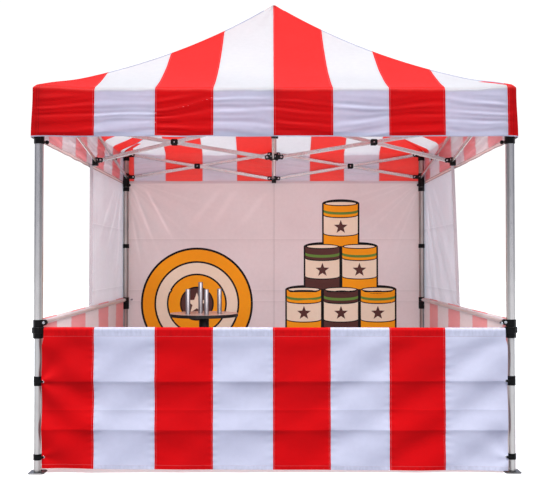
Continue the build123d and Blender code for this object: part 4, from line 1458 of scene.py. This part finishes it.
def make_floor():
    """A pale floor that gives off a little light and leaves the booth's own light alone."""
    mesh = bpy.data.meshes.new("floor")
    corners = [(floor_reach * x, floor_reach * y, 0) for x, y in ((-1, -1), (1, -1), (1, 1), (-1, 1))]
    mesh.from_pydata(corners, [], [(0, 1, 2, 3)])
    floor = new_object("floor", mesh)
    shader = Shader("pale_floor")
    tone = shader.noise(shader.place("Object"), 0.6, detail=2.0)
    mesh.materials.append(shader.finish(Base_Color=shader.mix(tone, (0.66, 0.66, 0.66), (0.68, 0.68, 0.68)),
                                        Roughness=0.9, Emission_Color=(1, 1, 1, 1), Emission_Strength=0.35))
    floor.visible_diffuse = False
    floor.visible_transmission = False


def make_world():
    """A white background, and soft light that is stronger from the back and weaker from the sides."""
    world = bpy.data.worlds.new("studio")
    bpy.context.scene.world = world
    world.use_nodes = True
    sky = Tree(world.node_tree)
    sideways, backward, _ = sky.parts_of(sky.place("Generated"))
    strength = sky.scaled(abs(sideways), 0.62, 0.30) + sky.scaled(backward, 0.0, 1.1, start=0.1)
    fill = sky.nodes["Background"]
    sky.feed_named(fill, {"Color": fill_colour, "Strength": strength})
    seen = sky.node("Background", Color=(1, 1, 1, 1), Strength=seen_strength)
    sky.show_blend(sky.node("LightPath").outputs["Is Camera Ray"], fill, seen, "World Output")


def add_light(name, kind, power, colour, place):
    data = bpy.data.lights.new(name, kind)
    data.energy = power
    data.color = colour
    light = new_object(name, data)
    light.location = place
    light.visible_camera = False
    return light


def make_lights():
    """Soft light from overhead, leaned to the front and one side, and a fill inside the booth."""
    sun = add_light("top_light", "SUN", 4.0, (1.0, 0.995, 0.98), (0, 0, 8))
    sun.data.angle = sun_softness
    sun.rotation_euler = (*sun_leans, 0)
    fill = add_light("inside_fill", "AREA", 42, (1.0, 0.90, 0.89), fill_place)
    fill.data.shape = "RECTANGLE"
    fill.data.size, fill.data.size_y = fill_size
    fill.rotation_euler = (fill_target - fill_place).to_track_quat("-Z", "Y").to_euler()


def make_camera():
    """The photograph's camera."""
    data = bpy.data.cameras.new("camera")
    camera = new_object("camera", data)
    camera.location = camera_place
    camera.rotation_euler = (math.pi / 2 + camera_pitch, camera_roll, camera_yaw)
    data.sensor_width = sensor_width
    data.lens = photo_focal_pixels * sensor_width / photo_width
    data.clip_end = 200
    bpy.context.scene.camera = camera
    bpy.context.scene.view_settings.view_transform = "Standard"


def canopy_cloths(drop):
    """The four outsides and then the four insides."""
    uprights = (-half_canopy + 0.046, -half_canopy + 0.031, half_canopy - 0.028)
    cloths = [striped_cloth(f"{side}_canopy_cloth", side, outside_red, shade_tinted_white,
                            roof_colours=(roof_sheen_red, roof_lit_white), binding_below=binding - drop,
                            seam_lines=(-0.004,), upright_rows=uprights, through=0.52, specular=0.2)
              for side in side_names]
    for side in side_names:
        below = valance_inside_red, valance_inside_white
        # Painted light: the back valance's inside gets the vivid red of the roof's underside and its own
        # darker white, unlike the pale insides of the other valances, for light shining through it from
        # behind
        if side == "back":
            below = under_red, back_valance_white
        cloths.append(striped_cloth(f"{side}_canopy_inside", side, *below, roof_colours=(under_red, under_white),
                                    through=0.56))
    return cloths


def counter_cloths(side):
    """A counter wall's outside and inside."""
    wall_top = counter_high.z - counter_low.z - rail_radius
    fold = math.pi * rail_radius + rail_flap
    hems = (wall_top - wall_top_hem, wall_top + 2 * fold), (0.0, wall_bottom_hem)
    creases = [place - counter_low.z for place in (upper_crease, middle_crease, lower_crease)]
    outside = striped_cloth(f"{side}_counter_cloth", f"{side}_counter", outside_red, shade_tinted_white,
                            seam_lines=(wall_bottom_hem, wall_top - wall_top_hem), crease_rows=creases,
                            doubled=hems, through=0.22)
    inside = striped_cloth(f"{side}_counter_inside", f"{side}_counter", inside_red, inside_white,
                           through=0.22)
    return [outside, inside]


def main():
    drop = eave_height - valance_bottom + valance_stretch
    wing_top = wing_boxes[1][1].z
    canopy = canopy_cloths(drop)
    # The hip seams: the roof's red with painted light and sheen, and white painted as lavender shade
    hip_seams = [striped_cloth(f"{side}_hip_seam", side, roof_sheen_red, hip_shade_lavender, through=0.0)
                 for side in ("front", "back")]
    # The back wall's cloth: painted highlight and shade at its creases, painted light streaks fanning from
    # its top corners and painted highlights along its taut folds
    back_cloth = plain_cloth("back_cloth", *back_wall_white, seam_at=0.0,
                             crease_rows=(1.53, 1.02, 0.91, 0.51),
                             fans=(((-1.50, 2.13), 0.030), ((1.50, 2.13), 0.030)),
                             folds=[fold[:4] for fold in back_folds])
    # The wings' cloth: painted highlight and shade at its creases and painted highlights along its taut folds
    wing_marks = {"crease_rows": (1.62, 1.06), "folds": wing_folds}
    wing_cloth = plain_cloth("wing_cloth", *left_wing_white, through=0.64, **wing_marks)
    right_wing_cloth = plain_cloth("right_wing_cloth", *right_wing_white, through=0.74, **wing_marks)
    wing_hem = plain_cloth("wing_hem", *wing_hem_white, through=0.05)
    hem_cloth = plain_cloth("hem_cloth", *back_hem_white, through=0.10)
    side_hem = plain_cloth("side_hem_cloth", *side_hem_white, through=0.16,
                           edge_rows=(-drop + 0.004, -drop + 0.0265, wing_top - 0.0040, wing_top - 0.0260))
    black = moulded_plastic("black_nylon", (0.0014, 0.0014, 0.0016), (0.006, 0.006, 0.0065))
    strap = webbing("black_webbing", (0.0022, 0.0022, 0.0026), (0.007, 0.007, 0.0075))
    steel = metal("pin_steel", (0.50, 0.51, 0.54), (0.36, 0.37, 0.40), 0.24, pin_streak)
    dull_steel = metal("turned_pins", (0.27, 0.27, 0.285), (0.21, 0.21, 0.22), 0.40, pin_streak)
    make_canopy(canopy, [side_hem, side_hem, hem_cloth, side_hem], hip_seams)
    make_front_wall(counter_cloths("front"))
    make_side_wall("right", 1, counter_cloths("right"), 401)
    make_side_wall("left", -1, counter_cloths("left"), 411)
    make_back_wall(back_cloth, hem_cloth)
    make_wing(-1, wing_cloth, wing_hem, side_hem)
    make_wing(1, right_wing_cloth, wing_hem, side_hem)
    make_pins(dull_steel)
    make_bolts(steel)
    make_clamp_bosses(black)
    make_grommets(steel)
    make_tabs(strap)
    finish_frame(black, strap, steel)
    make_floor()
    make_world()
    make_lights()
    make_camera()


main()
